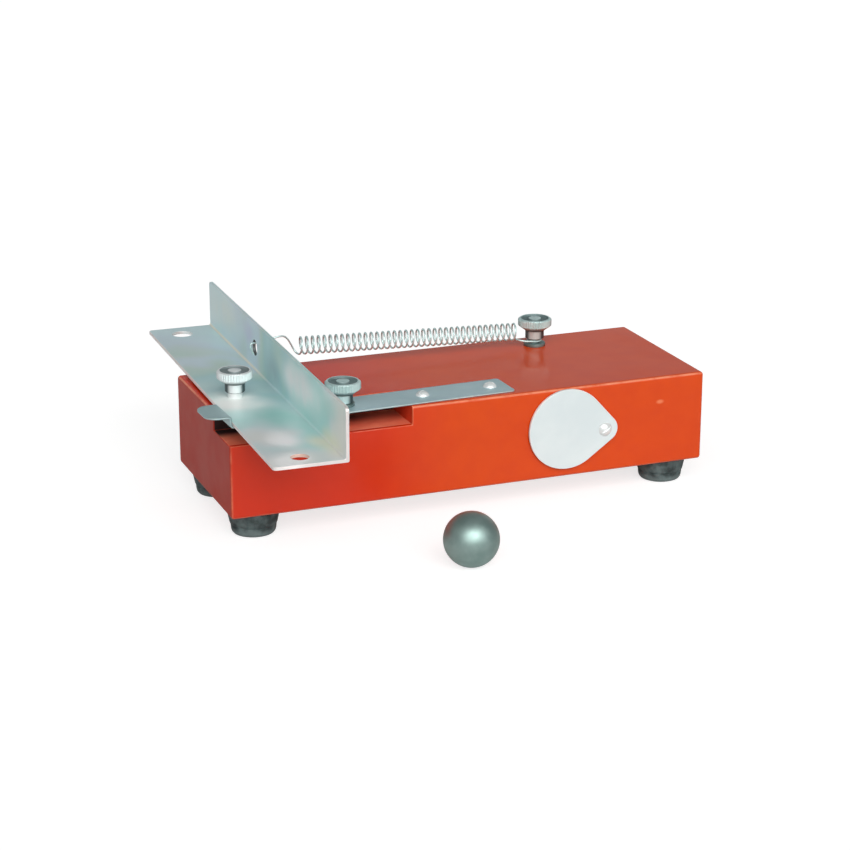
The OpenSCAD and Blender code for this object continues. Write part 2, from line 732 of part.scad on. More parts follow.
module cover_screw() {
    head_z = cover_washer_t + cover_t + cover_play;
    color([0.85, 0.86, 0.86]) at_cover_screw() {
        translate([0, 0, head_z])
            dome_head(cover_screw_head_d, cover_screw_head_h, cover_slot_w);
        translate([0, 0, -cover_screw_grip])
            cylinder(h = cover_screw_grip + head_z + overlap, d = cover_screw_d);
    }
}

module ball() {
    color([0.62, 0.64, 0.66]) sphere(d = ball_d, $fn = 96);
}

module bench_ball() { translate([ball_x, front_y - ball_front, ball_d / 2]) ball(); }

module stored_ball() {
    translate([store_x, front_y + store_l - ball_d / 2 - ball_rest,
        cover_z - store_gap + ball_rest]) ball();
}

echo(least_wire_gap = least_gap(wire_line, wire_d / 2, 6));
base_block();
foot_front_left();
foot_front_right();
foot_rear_left();
foot_rear_right();
foot_screws();
swing_plate();
plate_washer();
pivot_bush();
pivot_screw();
pivot_insert();
trigger_strip();
trigger_knob();
knob_collar();
trigger_nut();
strip_screws();
spring();
spring_post();
post_collar();
post_insert();
storage_cover();
cover_washer();
cover_screw();
bench_ball();
stored_ball();
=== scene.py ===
# %% [markdown]
# # A falling bodies apparatus
# A spring turns an angle plate on a painted wooden block. One ball rests in a hole at each
# end of the plate. When the steel leaf is pressed the plate lets go: one ball is thrown
# level and the other drops straight down, and both are heard to land together.
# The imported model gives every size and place. This lesson dresses it piece by piece.

# %% Load the fixed frame
import json
import math
import bmesh
import bpy
from mathutils import Matrix, Vector


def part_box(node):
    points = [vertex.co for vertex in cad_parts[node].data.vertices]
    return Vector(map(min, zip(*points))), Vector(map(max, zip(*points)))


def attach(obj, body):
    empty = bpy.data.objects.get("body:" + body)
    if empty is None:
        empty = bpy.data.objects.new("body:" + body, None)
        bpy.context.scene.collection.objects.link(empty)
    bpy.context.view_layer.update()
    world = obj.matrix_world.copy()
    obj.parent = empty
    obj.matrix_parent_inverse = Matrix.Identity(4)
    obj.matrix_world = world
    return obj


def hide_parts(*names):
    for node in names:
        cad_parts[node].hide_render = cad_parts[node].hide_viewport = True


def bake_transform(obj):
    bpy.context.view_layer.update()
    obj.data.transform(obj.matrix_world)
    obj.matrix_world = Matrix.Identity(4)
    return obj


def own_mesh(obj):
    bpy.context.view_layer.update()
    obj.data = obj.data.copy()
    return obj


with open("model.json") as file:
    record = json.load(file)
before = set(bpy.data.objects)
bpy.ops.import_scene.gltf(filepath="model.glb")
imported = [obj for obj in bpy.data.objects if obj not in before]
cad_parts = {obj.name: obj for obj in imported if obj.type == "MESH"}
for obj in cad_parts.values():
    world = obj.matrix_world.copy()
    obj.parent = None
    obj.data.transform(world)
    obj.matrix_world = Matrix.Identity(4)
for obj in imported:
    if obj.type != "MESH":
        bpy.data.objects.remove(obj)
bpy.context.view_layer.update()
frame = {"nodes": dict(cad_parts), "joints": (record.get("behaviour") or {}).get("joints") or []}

scene = bpy.context.scene
joints = {joint["name"]: joint for joint in frame["joints"]}

# %% [markdown]
# ## Sizes
# The frame gives each solid's box and each joint's place. What it can't give, such as a
# sheet's thickness or a hole's radius, is written here once when several pieces use it,
# and otherwise beside the piece.

# %% Sizes are written in millimetres and used in metres
MM = 0.001


def at(point):
    """A place written in millimetres, as a vector in metres."""
    return Vector(point) * MM


# %% Sizes that several pieces share, in millimetres
plate_t, leaf_t, wire = 1.5, 0.8, 0.9
washer_t, collar_t, loop_gap = 1.2, 1.6, 0.65
thread_room_r, insert_l, screw_in_block = 2.1, 9, 11
sleeve_hole_r, spring_hole_r, leaf_hole_r = 3.46, 3.7, 1.55
leaf_screw_reaches, knob_reach = (9.5, 43.5), 29.7
cover_t, cover_washer_t, cover_play = 1.5, 0.5, 0.1
feet = [f"foot_{row}_{side}" for row in ("front", "rear") for side in ("left", "right")]
print("feet", feet)

# %% The plate's reaches from its pivot, its holes as (right, back, radius), and its turn
rear, ahead, left, right, up = 120.0, 99.5, 11.3, 20.5, 22.7
rear_seat, front_seat = (3.1, rear - 11.7, 5.0), (3.1, 9.5 - ahead, 4.0)
hole_reach, hole_z = 38.0, plate_t + 10.7
plate_skew = math.radians(1.35)
pivot = Vector(joints["plate_swing"]["pos_m"])
plate_low, plate_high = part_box("swing_plate")
print("plate top", round(plate_high.z / MM, 2), "mm above the bench")

# %% The block, its rebate, and the joints' places on it
block_low, block_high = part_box("base_block")
post = Vector(joints["spring_post_turn"]["pos_m"])
leaf_root = Vector(joints["trigger_press"]["pos_m"])
cover_pin = Vector(joints["cover_swing"]["pos_m"])
rebate_w, rebate_d = 24.5, 8.8
rebate_end = leaf_root.x
rebate_wall = block_low.y + rebate_w * MM
rebate_floor = block_high.z - rebate_d * MM
print("block", [round(v / MM, 2) for v in block_high - block_low], "mm")

# %% The leaf's own direction, from where it leaves the block to its catch
leaf_turn = math.radians(2)
leaf_way = Vector((-math.cos(leaf_turn), -math.sin(leaf_turn), 0))
print("the leaf points along", [round(v, 4) for v in leaf_way])

# %% [markdown]
# ## The camera and the light
# The photograph was taken with a long lens, a little above the block and to its left. A
# camera that was solved from the block's corners puts every edge on the photograph's own.
# A broad soft light stands behind the photographer, and the room around is much dimmer.
# A sun lamp with a wide angle lights the whole floor evenly, where a near panel would
# leave the far floor grey.


# %% Helpers that give a direction and link a new object
def way_of(yaw, lift):
    """The direction at an angle from straight back and an angle above level."""
    return Vector((math.sin(yaw) * math.cos(lift), math.cos(yaw) * math.cos(lift),
                   math.sin(lift)))


def add_object(name, data):
    """An object of a mesh, lamp, camera or curve, linked to the scene."""
    made = bpy.data.objects.new(name, data)
    scene.collection.objects.link(made)
    return made


# %% Camera
camera_place = at((-391.55, -977.71, 379.03))
camera_yaw = math.radians(21.4075)
camera_pitch = math.radians(18.35)
camera_roll = math.radians(-0.083)
look = way_of(camera_yaw, -camera_pitch)
lens = bpy.data.cameras.new("photo_camera")
lens.lens = 98.41
lens.sensor_width = 36
lens.sensor_fit = "HORIZONTAL"
camera = add_object("photo_camera", lens)
camera.location = camera_place
turn = look.to_track_quat("-Z", "Y").to_matrix() @ Matrix.Rotation(-camera_roll, 3, "Z")
camera.rotation_euler = turn.to_euler()
scene.camera = camera
scene.view_settings.view_transform = "Standard"
print("camera looks along", [round(v, 3) for v in look])

# %% Key light
key_lift = math.radians(36)
key_yaw = camera_yaw - math.radians(12)
sun = bpy.data.lights.new("soft_key", "SUN")
sun.energy = 1.0
sun.angle = math.radians(40)
sun.color = (1.0, 0.985, 0.96)
key = add_object("soft_key", sun)
key_from = -way_of(key_yaw, -key_lift)
key.rotation_euler = key_from.to_track_quat("Z", "Y").to_euler()
print("key light comes from", [round(v, 3) for v in key_from])


# %% Helpers that add a node, set its values and join its inputs
def node(tree, kind, inputs=None, **settings):
    """Adds a node. An input given as a socket is linked, any other is set."""
    made = tree.nodes.new(kind)
    for name, value in settings.items():
        setattr(made, name, value)
    for name, value in (inputs or {}).items():
        if isinstance(value, bpy.types.NodeSocket):
            tree.links.new(value, made.inputs[name])
        else:
            made.inputs[name].default_value = value
    return made


def ramp(tree, value, low, high, to_low=0.0, to_high=1.0, smooth=True):
    """A value from to_low to to_high as another goes from low to high."""
    return node(tree, "ShaderNodeMapRange",
                {"Value": value, "From Min": low, "From Max": high, "To Min": to_low,
                 "To Max": to_high},
                interpolation_type="SMOOTHSTEP" if smooth else "LINEAR").outputs["Result"]


def past(tree, value, face, start, full):
    """From zero to one as a place goes past a face, in millimetres from that face."""
    return ramp(tree, value, face + start * MM, face + full * MM)


def sums(tree, first, second, operation="MULTIPLY"):
    """The result of arithmetic on two values."""
    return node(tree, "ShaderNodeMath", {0: first, 1: second},
                operation=operation).outputs["Value"]


def vector_sums(tree, operation, *values, output="Vector"):
    """The result of arithmetic on one or two vectors."""
    return node(tree, "ShaderNodeVectorMath", dict(enumerate(values)),
                operation=operation).outputs[output]


def parts_of(tree, vector):
    """The X, Y and Z of a vector."""
    return node(tree, "ShaderNodeSeparateXYZ", {"Vector": vector}).outputs


def blend_colours(tree, factor, first, second):
    """The colour between two colours, by a factor."""
    return node(tree, "ShaderNodeMix", {"Factor": factor, "A": first, "B": second},
                data_type="RGBA").outputs["Result"]


# %% The room: a wide soft panel in front, dim sides, a wall behind and a dark ceiling
horizon_light = (0.47, 0.50, 0.51, 1)
side_light = (0.20, 0.21, 0.22, 1)
zenith_light = (0.13, 0.135, 0.14, 1)
panel_light = (1.95, 1.95, 1.92, 1)
room = bpy.data.worlds.new("studio")
room.use_nodes = True
room_tree = room.node_tree
room_tree.nodes.clear()
view_way = node(room_tree, "ShaderNodeTexCoord").outputs["Generated"]
way_height = parts_of(room_tree, view_way)["Z"]
level_way = vector_sums(room_tree, "NORMALIZE",
                        vector_sums(room_tree, "MULTIPLY", view_way, (1, 1, 0)))
facing = vector_sums(room_tree, "DOT_PRODUCT", level_way,
                     tuple(-way_of(key_yaw, 0)), output="Value")
across_panel = ramp(room_tree, facing, math.cos(math.radians(62)),
                    math.cos(math.radians(36)))
up_panel = sums(room_tree, ramp(room_tree, way_height, 0.08, 0.30),
                ramp(room_tree, way_height, 0.90, 0.70))
walls = blend_colours(room_tree, ramp(room_tree, way_height, 0.02, 0.75), horizon_light,
                      zenith_light)
side_walls = sums(room_tree, ramp(room_tree, facing, -0.75, -0.35),
                  ramp(room_tree, way_height, 0.60, 0.25))
walls = blend_colours(room_tree, side_walls, walls, side_light)
room_light = blend_colours(room_tree, sums(room_tree, across_panel, up_panel), walls,
                           panel_light)
backdrop = node(room_tree, "ShaderNodeBackground", {"Color": room_light, "Strength": 1.0})
room_end = node(room_tree, "ShaderNodeOutputWorld")
room_tree.links.new(backdrop.outputs[0], room_end.inputs["Surface"])
scene.world = room
print("panel light", panel_light[:3], "walls", horizon_light[:3], side_light[:3],
      "ceiling", zenith_light[:3])

# %% [markdown]
# ## Shared surface effects
# Real finishes are never even. Each effect that several finishes share is one node group:
# soft clouds of tone, a mask of the edges for wear and painted highlights, fine hairlines
# left by rolling or polishing, and a fine grain. Each reads object coordinates, so a
# pattern stays on its piece when the piece moves. An image could do the same, but would
# blur close up.


# %% Helpers for places and noise, and one that starts a node group
def own_space(tree, output="Object"):
    """A point's place on its object, or the way that it faces there."""
    return node(tree, "ShaderNodeTexCoord").outputs[output]


def noise_value(tree, place, scale, detail, roughness=0.5):
    """The value of a noise texture at a place."""
    return node(tree, "ShaderNodeTexNoise",
                {"Vector": place, "Scale": scale, "Detail": detail,
                 "Roughness": roughness}).outputs[0]


def start_group(name, takes, gives):
    """A shader node group with float inputs {name: value} and float outputs."""
    group = bpy.data.node_groups.new(name, "ShaderNodeTree")
    for label, value in takes.items():
        socket = group.interface.new_socket(label, in_out="INPUT",
                                            socket_type="NodeSocketFloat")
        socket.default_value = value
    for label in gives:
        group.interface.new_socket(label, in_out="OUTPUT", socket_type="NodeSocketFloat")
    taken = group.nodes.new("NodeGroupInput").outputs
    given = group.nodes.new("NodeGroupOutput").inputs
    return group, taken, given


# %% Soft clouds
cloud_group, taken, given = start_group(
    "soft_cloud", {"Scale": 30.0, "Low": 0.0, "High": 1.0, "Detail": 3.0}, ["Value"])
puffs = noise_value(cloud_group, own_space(cloud_group), taken["Scale"], taken["Detail"])
cloud_group.links.new(ramp(cloud_group, puffs, 0.30, 0.70, taken["Low"], taken["High"]),
                      given["Value"])
print("group", cloud_group.name, "takes", [s.name for s in taken if s.name])

# %% Edges for wear and painted highlights: where a surface leaves the three square directions, broken by noise
edge_group, taken, given = start_group(
    "edge_wear_and_highlight", {"Start": 0.985, "Full": 0.80, "Breakup": 260.0, "Reach": 0.40},
    ["Mask"])
parts = parts_of(edge_group, vector_sums(edge_group, "ABSOLUTE",
                                         own_space(edge_group, "Normal")))
squareness = sums(edge_group, sums(edge_group, parts["X"], parts["Y"], "MAXIMUM"),
                  parts["Z"], "MAXIMUM")
turned_away = ramp(edge_group, squareness, taken["Start"], taken["Full"])
chips = noise_value(edge_group, own_space(edge_group), taken["Breakup"], 4.0, 0.65)
worn = ramp(edge_group, chips, taken["Reach"], 0.62)
edge_group.links.new(sums(edge_group, turned_away, worn), given["Mask"])
print("group", edge_group.name)

# %% Hairlines: noise drawn out along one direction
line_group, taken, given = start_group(
    "hairlines", {"Along": 8.0, "Across": 900.0, "Turn": 0.0}, ["Height"])
turned_by = node(line_group, "ShaderNodeVectorRotate",
                 {"Vector": own_space(line_group), "Angle": taken["Turn"]},
                 rotation_type="Z_AXIS").outputs["Vector"]
stretch = node(line_group, "ShaderNodeCombineXYZ",
               {"X": taken["Across"], "Y": taken["Along"], "Z": taken["Across"]})
drawn = vector_sums(line_group, "MULTIPLY", turned_by, stretch.outputs["Vector"])
line_group.links.new(noise_value(line_group, drawn, 1.0, 2.0), given["Height"])
print("group", line_group.name)

# %% Fine grain
grain_group, taken, given = start_group("fine_grain", {"Scale": 1500.0}, ["Height"])
specks = noise_value(grain_group, own_space(grain_group), taken["Scale"], 1.0)
grain_group.links.new(specks, given["Height"])
print("group", grain_group.name)


# %% Helpers that start a material and place a group in it
def start_material(name, **constants):
    """A material with one Principled BSDF, and its constants set on the shader."""
    made = bpy.data.materials.new(name)
    made.use_nodes = True
    tree = made.node_tree
    shader = tree.nodes["Principled BSDF"]
    for socket, value in constants.items():
        shader.inputs[socket.replace("_", " ").title().replace("Ior", "IOR")] \
            .default_value = value
    return made, tree, shader


def effect(tree, group, **values):
    """Places a node group and returns its first output."""
    made = node(tree, "ShaderNodeGroup", node_tree=group)
    for label, value in values.items():
        made.inputs[label].default_value = value
    return made.outputs[0]


def place_part(tree, axis):
    """One coordinate of the place on the object."""
    return parts_of(tree, own_space(tree))[axis]


def clouds(tree, scale, low=0.0, high=1.0, detail=3.0):
    """Soft clouds from a low value to a high one."""
    return effect(tree, cloud_group, Scale=scale, Low=low, High=high, Detail=detail)


def layered(tree, base, *layers):
    """A colour with others laid over it, each given as (factor, colour)."""
    for factor, colour in layers:
        base = blend_colours(tree, factor, base, colour)
    return base


def mark_near(tree, place, spot, reach, inner, outer):
    """One near a spot and zero away from it, in a space squeezed by reach."""
    squeezed = node(tree, "ShaderNodeMapping",
                    {"Vector": place, "Location": spot, "Scale": reach},
                    vector_type="TEXTURE").outputs["Vector"]
    return ramp(tree, vector_sums(tree, "LENGTH", squeezed, output="Value"), outer, inner)


def feed(shader, socket, value):
    """Joins a value to one of the shader's sockets."""
    shader.id_data.links.new(value, shader.inputs[socket])


def fed_by(shader, socket):
    """The value that a shader's socket has already."""
    return shader.inputs[socket].links[0].from_socket


def paint_over(tree, shader, factor, colour):
    """Lays a colour over the base colour that the shader has already."""
    feed(shader, "Base Color",
         blend_colours(tree, factor, fed_by(shader, "Base Color"), colour))


def bump(tree, shader, height, distance, strength):
    """Raises the surface by a height, under what bump it has already."""
    made = node(tree, "ShaderNodeBump",
                {"Height": height, "Distance": distance, "Strength": strength})
    if shader.inputs["Normal"].links:
        tree.links.new(fed_by(shader, "Normal"), made.inputs["Normal"])
    feed(shader, "Normal", made.outputs["Normal"])


# %% [markdown]
# ## Red paint
# The block is hardwood under a thick coat of gloss enamel. It has a slight orange peel,
# long shallow waves where it was sanded and a pale line along its edges, partly rubbed
# paint and partly a painted highlight that is strongest on the top edges. The end under
# the plate is painted redder as painted shade from the plate. A clear coat on top was
# left out: enamel is one layer, and a low roughness gives the same gloss.

# %% Red paint
paint, tree, shader = start_material("gloss_enamel", ior=1.43)
deep_red = (0.50, 0.022, 0.010, 1)
broad_red = (0.66, 0.050, 0.008, 1)
shaded_red = (0.68, 0.034, 0.009, 1)
orange_red = (0.735, 0.072, 0.003, 1)
rubbed_and_highlight_red = (0.98, 0.42, 0.24, 1)
faces = parts_of(tree, own_space(tree, "Normal"))
paint_x, paint_y, paint_z = (place_part(tree, axis) for axis in "XYZ")
# Painted shade: the paint turns from orange to a darker red towards the end under the plate,
# where the plate shades it.
under_plate_shade = ramp(tree, paint_x, 5 * MM, -62 * MM)
base = blend_colours(tree, under_plate_shade, orange_red, shaded_red)
base = layered(tree, base, (clouds(tree, 13.0, 0.0, 0.30, 2.0), broad_red),
               (clouds(tree, 95.0, 0.0, 0.12, 4.0), deep_red))
print("open paint", orange_red[:3], "sheltered paint", shaded_red[:3])

# %% Painted shade on the left end, painted light on the rebate's floor, and painted shadow on its wall and at its back
# Painted shade: the left end face is painted a darker red, where less light falls on it.
end_grain = ramp(tree, faces["X"], -0.6, -0.9)
end_shade = sums(tree, end_grain, ramp(tree, paint_x, -100 * MM, -112 * MM))
in_rebate = sums(tree, past(tree, paint_y, block_low.y, 1.75, 2.55),
                 sums(tree, past(tree, paint_y, rebate_wall, 1.75, 0.75),
                      past(tree, paint_x, rebate_end, 0.8, 0.0)))
low_down = sums(tree, in_rebate, sums(tree, past(tree, paint_z, rebate_floor, -0.6, -0.1),
                                      past(tree, paint_z, block_high.z, -0.9, -1.9)))
# Painted light: the rebate's floor is painted a paler pink, as the light that reaches it.
rebate_floor_face = sums(tree, low_down, ramp(tree, faces["Z"], 0.6, 0.9))
streaks = clouds(tree, 60.0, 0.45, 1.0, 4.0)
# Painted shadow: the rebate's wall under the leaf and the back and left of its floor are painted
# near black.
rebate_wall_face = sums(tree, low_down, ramp(tree, faces["Y"], -0.6, -0.9))
back_floor_shadow = sums(tree, sums(tree, rebate_floor_face, past(tree, paint_y, rebate_wall, -12.75, -3.75)),
                  ramp(tree, paint_x, -38 * MM, -60 * MM, 0.4, 1.0))
painted_rebate_shadow = sums(tree, sums(tree, rebate_wall_face, back_floor_shadow, "MAXIMUM"), 0.97)
base = layered(tree, base, (end_shade, (0.47, 0.026, 0.006, 1)),
               (sums(tree, rebate_floor_face, streaks), (0.98, 0.26, 0.15, 1)),
               (painted_rebate_shadow, (0.006, 0.005, 0.005, 1)))
# In the line below, dusty stands for painted light on the rebate's floor and sooty for painted
# shadow on its wall and back.
print("the rebate is dusty in front and sooty behind")

# %% Rubbed edges with a painted highlight along the top ones, and the smear near the right end
rubbed_and_lit_edges = effect(tree, edge_group, Start=0.97, Full=0.78, Breakup=90.0, Reach=0.28)
rubbed_and_lit_edges = sums(tree, rubbed_and_lit_edges, sums(tree, 1.0, low_down, "SUBTRACT"))
# Painted highlight: the pale edge line is made stronger on the top edges, where light catches
# the rounded edge.
top_edge_highlight = ramp(tree, paint_z, 45 * MM, 50 * MM, 0.30, 0.62)
smear = mark_near(tree, own_space(tree), at((94.5, -42.75, 43.3)), at((2.4, 4.0, 1.3)),
                  0.3, 1.1)
base = layered(tree, base, (sums(tree, rubbed_and_lit_edges, top_edge_highlight), rubbed_and_highlight_red),
               (sums(tree, smear, 0.55), (0.95, 0.33, 0.15, 1)))
feed(shader, "Base Color", base)
gloss = clouds(tree, 40.0, 0.17, 0.27, 5.0)
gloss = sums(tree, gloss, sums(tree, end_grain, 0.22), "ADD")
gloss = sums(tree, gloss, sums(tree, low_down, 0.40), "ADD")
feed(shader, "Roughness", gloss)
bump(tree, shader, effect(tree, grain_group, Scale=420.0), 0.05 * MM, 0.35)
bump(tree, shader, clouds(tree, 26.0), 0.25 * MM, 0.30)
print("material", paint.name)

# %% [markdown]
# ## Rubber
# The feet are moulded black rubber that has gone grey with dust and streaked where it
# was handled, with a painted highlight that lightens the rim at the bottom. Rubber is
# matt, so its roughness is high and a fine grain breaks the reflections up.

# %% Foot rubber
rubber, tree, shader = start_material("dusty_rubber", ior=1.45)
# Painted highlight: the lower rim of each foot is painted lighter grey.
rim_highlight = ramp(tree, place_part(tree, "Z"), 4.2 * MM, 1.4 * MM, 0.0, 0.55)
feed(shader, "Base Color", layered(
    tree, (0.020, 0.032, 0.033, 1), (clouds(tree, 190.0, detail=5.0), (0.120, 0.165, 0.165, 1)),
    (rim_highlight, (0.19, 0.24, 0.24, 1))))
feed(shader, "Roughness", clouds(tree, 120.0, 0.45, 0.70))
bump(tree, shader, effect(tree, grain_group, Scale=1800.0), 0.08 * MM, 0.5)
print("material", rubber.name)


# %% [markdown]
# ## Bare and plated metal
# Eight finishes are made here, and the plate's zinc after them. They differ in tint,
# roughness and marks, so one function makes them all from the shared effects. None is a
# clean mirror: years of handling leave a film that scatters light, so Metallic stays
# below one and part of each surface is matt. Every roughness here stays above 0.28. The
# renderer cleans a surface above that figure in another way than one below it, so a map
# that crosses it leaves specks along the crossing. The paint stays below, except where it
# is matt.

# %% A metal finish
def metal(name, tints, rough, shine=0.5, cloud=60.0, along=10.0, across=900.0,
          line_turn=0.0, line_depth=0.02):
    """A metal with clouds between two tints, hairlines and uneven gloss."""
    made, tree, shader = start_material(name, metallic=shine)
    if tints:
        feed(shader, "Base Color", blend_colours(tree, clouds(tree, cloud), *tints))
    feed(shader, "Roughness", clouds(tree, cloud * 2.7, *rough, 5.0))
    lines = effect(tree, line_group, Along=along, Across=across, Turn=line_turn)
    bump(tree, shader, lines, line_depth * MM, 0.5)
    bump(tree, shader, effect(tree, grain_group, Scale=1600.0), 0.006 * MM, 0.4)
    return made, tree, shader


def edge_lines(tree, breakup=400.0, reach=0.25):
    """A mask of the fine lines along a thin piece's edges, for wear and for painted highlights.
    """
    return effect(tree, edge_group, Start=0.99, Full=0.85, Breakup=breakup, Reach=reach)


# %% Nickel for the knurled screws, and a whiter copy of it for the screw on the plate as painted light
nickel, nickel_tree, nickel_shader = metal(
    "turned_nickel", ((0.70, 0.88, 0.87, 1), (0.58, 0.78, 0.77, 1)), (0.30, 0.38),
    cloud=180.0, line_depth=0.004)
# Painted light: the screw on the plate is the same nickel, painted whiter because more light
# falls on it.
lit_copy_nickel, lit_copy_tree, lit_copy_shader = metal(
    "lit_copy_nickel", ((0.94, 0.98, 0.99, 1), (0.88, 0.94, 0.95, 1)), (0.29, 0.36),
    shine=0.45, cloud=180.0, line_depth=0.004)
print("nickels", nickel.name, lit_copy_nickel.name)

# %% Spring steel for the leaf, darker on its catch and at its rubbed edges
leaf_steel, tree, shader = metal("blue_steel", ((0.63, 0.83, 0.88, 1), (0.53, 0.72, 0.77, 1)),
                                 (0.30, 0.42), shine=0.55, cloud=45.0, along=900.0,
                                 across=25.0, line_turn=math.radians(-2),
                                 line_depth=0.006)
near_catch = ramp(tree, place_part(tree, "X"), -85 * MM, -112 * MM)
paint_over(tree, shader, near_catch, (0.44, 0.61, 0.63, 1))
paint_over(tree, shader, sums(tree, edge_lines(tree), 0.7), (0.50, 0.62, 0.60, 1))
print("material", leaf_steel.name)

# %% Screw steel, dark steel as painted shade for the collars, wire, brass and ball steel
plated_steel, _, _ = metal(
    "bright_steel", ((0.97, 0.99, 0.99, 1), (0.88, 0.92, 0.92, 1)), (0.29, 0.36),
    shine=0.40, cloud=240.0, line_depth=0.006)
# Painted shade: the collars get a dark steel because they sit in shade under the knurled heads.
collar_shade_steel, _, _ = metal(
    "collar_shade_steel", ((0.26, 0.36, 0.35, 1), (0.16, 0.23, 0.22, 1)), (0.32, 0.42),
    shine=0.60, cloud=260.0, line_depth=0.006)
wire_steel, _, _ = metal(
    "spring_wire", ((0.74, 0.93, 0.92, 1), (0.62, 0.82, 0.81, 1)), (0.29, 0.37),
    cloud=220.0, line_depth=0.002)
brass, _, _ = metal(
    "turned_brass", ((0.72, 0.52, 0.24, 1), (0.58, 0.40, 0.17, 1)), (0.29, 0.38),
    shine=0.8, cloud=200.0)
ball_steel, _, _ = metal(
    "dull_ball", ((0.37, 0.50, 0.475, 1), (0.29, 0.41, 0.385, 1)), (0.40, 0.47),
    shine=0.84, cloud=130.0, along=60.0, across=700.0, line_depth=0.003)
print("metals", [m.name for m in (plated_steel, collar_shade_steel, wire_steel, brass, ball_steel)])

# %% [markdown]
# ## Painted shade and necks on the knurled screws
# The sunk ring on each head is painted dark, as painted shade in the hollow. Under the
# head is a polished neck, a cylinder that shows the lit panel in its middle, and its
# sides are painted dark as a painted reflection of the dark room. Both are marked on the
# mesh, point by point, where the screw is turned, and the finish reads those marks as
# the attributes sunk_ring and neck.

# %% Painted shade in the sunk ring, and the painted dark sides of the neck
for tree, shader in ((nickel_tree, nickel_shader), (lit_copy_tree, lit_copy_shader)):
    # Painted shade: the sunk ring is darkened, where little light reaches the hollow.
    sunk = node(tree, "ShaderNodeAttribute", attribute_name="sunk_ring").outputs["Fac"]
    paint_over(tree, shader, sums(tree, sunk, 0.8), (0.08, 0.13, 0.135, 1))
    feed(shader, "Roughness", sums(tree, fed_by(shader, "Roughness"),
                                   sums(tree, sunk, 0.3), "ADD"))
    # Painted reflection: the neck's sides are darkened where the dark room would show in them.
    neck = node(tree, "ShaderNodeAttribute", attribute_name="neck").outputs["Fac"]
    aside = ramp(tree, node(tree, "ShaderNodeLayerWeight", {"Blend": 0.5}).outputs["Facing"],
                 0.13, 0.45)
    paint_over(tree, shader, sums(tree, neck, aside), (0.07, 0.10, 0.105, 1))
# The sunk ring's dark colour is painted shade, and the necks' dark sides a painted reflection.
print("grime and necks on", nickel.name, lit_copy_nickel.name)

# %% [markdown]
# ## Zinc plate
# The angle plate is zinc-plated. Its passivation is a film so thin that it colours the
# light, in soft bands of blue-green, straw and faint lilac that change along the plate.
# A colour ramp read along the plate, with its reading shaken by a broad noise, gives the
# bands. Fine lines left by rolling run the same way. Over the bands lie soft patches of
# painted highlight, painted reflection and painted shade, in white, straw, teal and lilac.
# The palest are matt painted highlights, so there Metallic falls almost to nothing: a
# metal could only mirror the room, but a matt patch catches the light from any side.

# %% Zinc plate
zinc, tree, shader = metal("passivated_zinc", None, (0.30, 0.40), cloud=14.0, along=14.0,
                           across=700.0, line_turn=plate_skew, line_depth=0.008)
on_plate = node(tree, "ShaderNodeMapping",
                {"Vector": own_space(tree), "Location": (pivot.x, pivot.y, plate_low.z),
                 "Rotation": (0, 0, -plate_skew), "Scale": (MM, MM, MM)},
                vector_type="TEXTURE").outputs["Vector"]
plate_x, plate_y, plate_z = parts_of(tree, on_plate)
print("the film is read in millimetres from the pivot, along the plate")

# %% Bands of the film
along_plate = ramp(tree, plate_y, -ahead, rear, smooth=False)
across_plate = ramp(tree, plate_x, -left, right + plate_t, 0.0, 0.10)
shake = clouds(tree, 26.0, -0.12, 0.12, 1.5)
reading = sums(tree, sums(tree, along_plate, across_plate, "ADD"), shake, "ADD")
bands = node(tree, "ShaderNodeValToRGB", {"Fac": reading})
bands.color_ramp.interpolation = "B_SPLINE"
film = [(0.00, (1.0, 0.97, 0.90)), (0.12, (0.94, 0.94, 0.92)), (0.21, (0.90, 0.96, 0.98)),
        (0.31, (0.52, 0.88, 0.84)), (0.43, (0.80, 0.98, 0.96)), (0.56, (0.50, 0.80, 0.84)),
        (0.68, (0.70, 0.86, 0.74)), (0.80, (0.76, 0.88, 1.0)), (1.0, (0.78, 0.99, 1.0))]
while len(bands.color_ramp.elements) < len(film):
    bands.color_ramp.elements.new(0.5)
for stop, (spot, colour) in zip(bands.color_ramp.elements, film):
    stop.position = spot
    stop.color = (*colour, 1)
print("the film has", len(film), "bands")

# %% Painted highlights, reflections and shade: soft patches, each at its own place and with its own reach
base = bands.outputs["Color"]
# each patch is its place and its reach in millimetres, its colour and its strength
painted_light_patches = [((20.5, -34, 14), (9, 32, 10), (1.0, 1.0, 1.0), 1.0),
          ((20.5, -82, 4), (9, 14, 7), (1.0, 0.99, 0.84), 0.7),
          ((20.5, -76, 17), (9, 15, 8), (0.66, 0.86, 0.82), 0.6),
          ((20.5, 9, 8), (7, 15, 12), (0.48, 0.66, 0.70), 0.75),
          ((20.5, 49, 17), (9, 11, 7), (0.76, 0.80, 0.96), 0.7),
          ((20.5, 92, 14), (9, 36, 14), (0.86, 0.97, 0.93), 0.7),
          ((-3, -2, 1.5), (14, 12, 6), (0.98, 1.0, 0.97), 0.9),
          ((-1, -12, 1.5), (17, 12, 6), (0.98, 1.0, 0.98), 1.0),
          ((9, -33, 1.5), (9, 15, 9), (0.42, 0.82, 0.76), 0.8),
          ((3, -64, 1.5), (9, 15, 6), (1.0, 0.97, 0.99), 1.0),
          ((17, -72, 1.5), (6, 11, 6), (1.0, 0.97, 0.82), 0.9),
          ((-2, -93, 1.5), (12, 12, 6), (1.0, 1.0, 1.0), 1.0),
          ((8, 48, 1.5), (9, 17, 6), (0.66, 0.80, 0.72), 0.7)]
wander = clouds(tree, 55.0, -0.35, 0.35, 2.0)
matt = 0.0
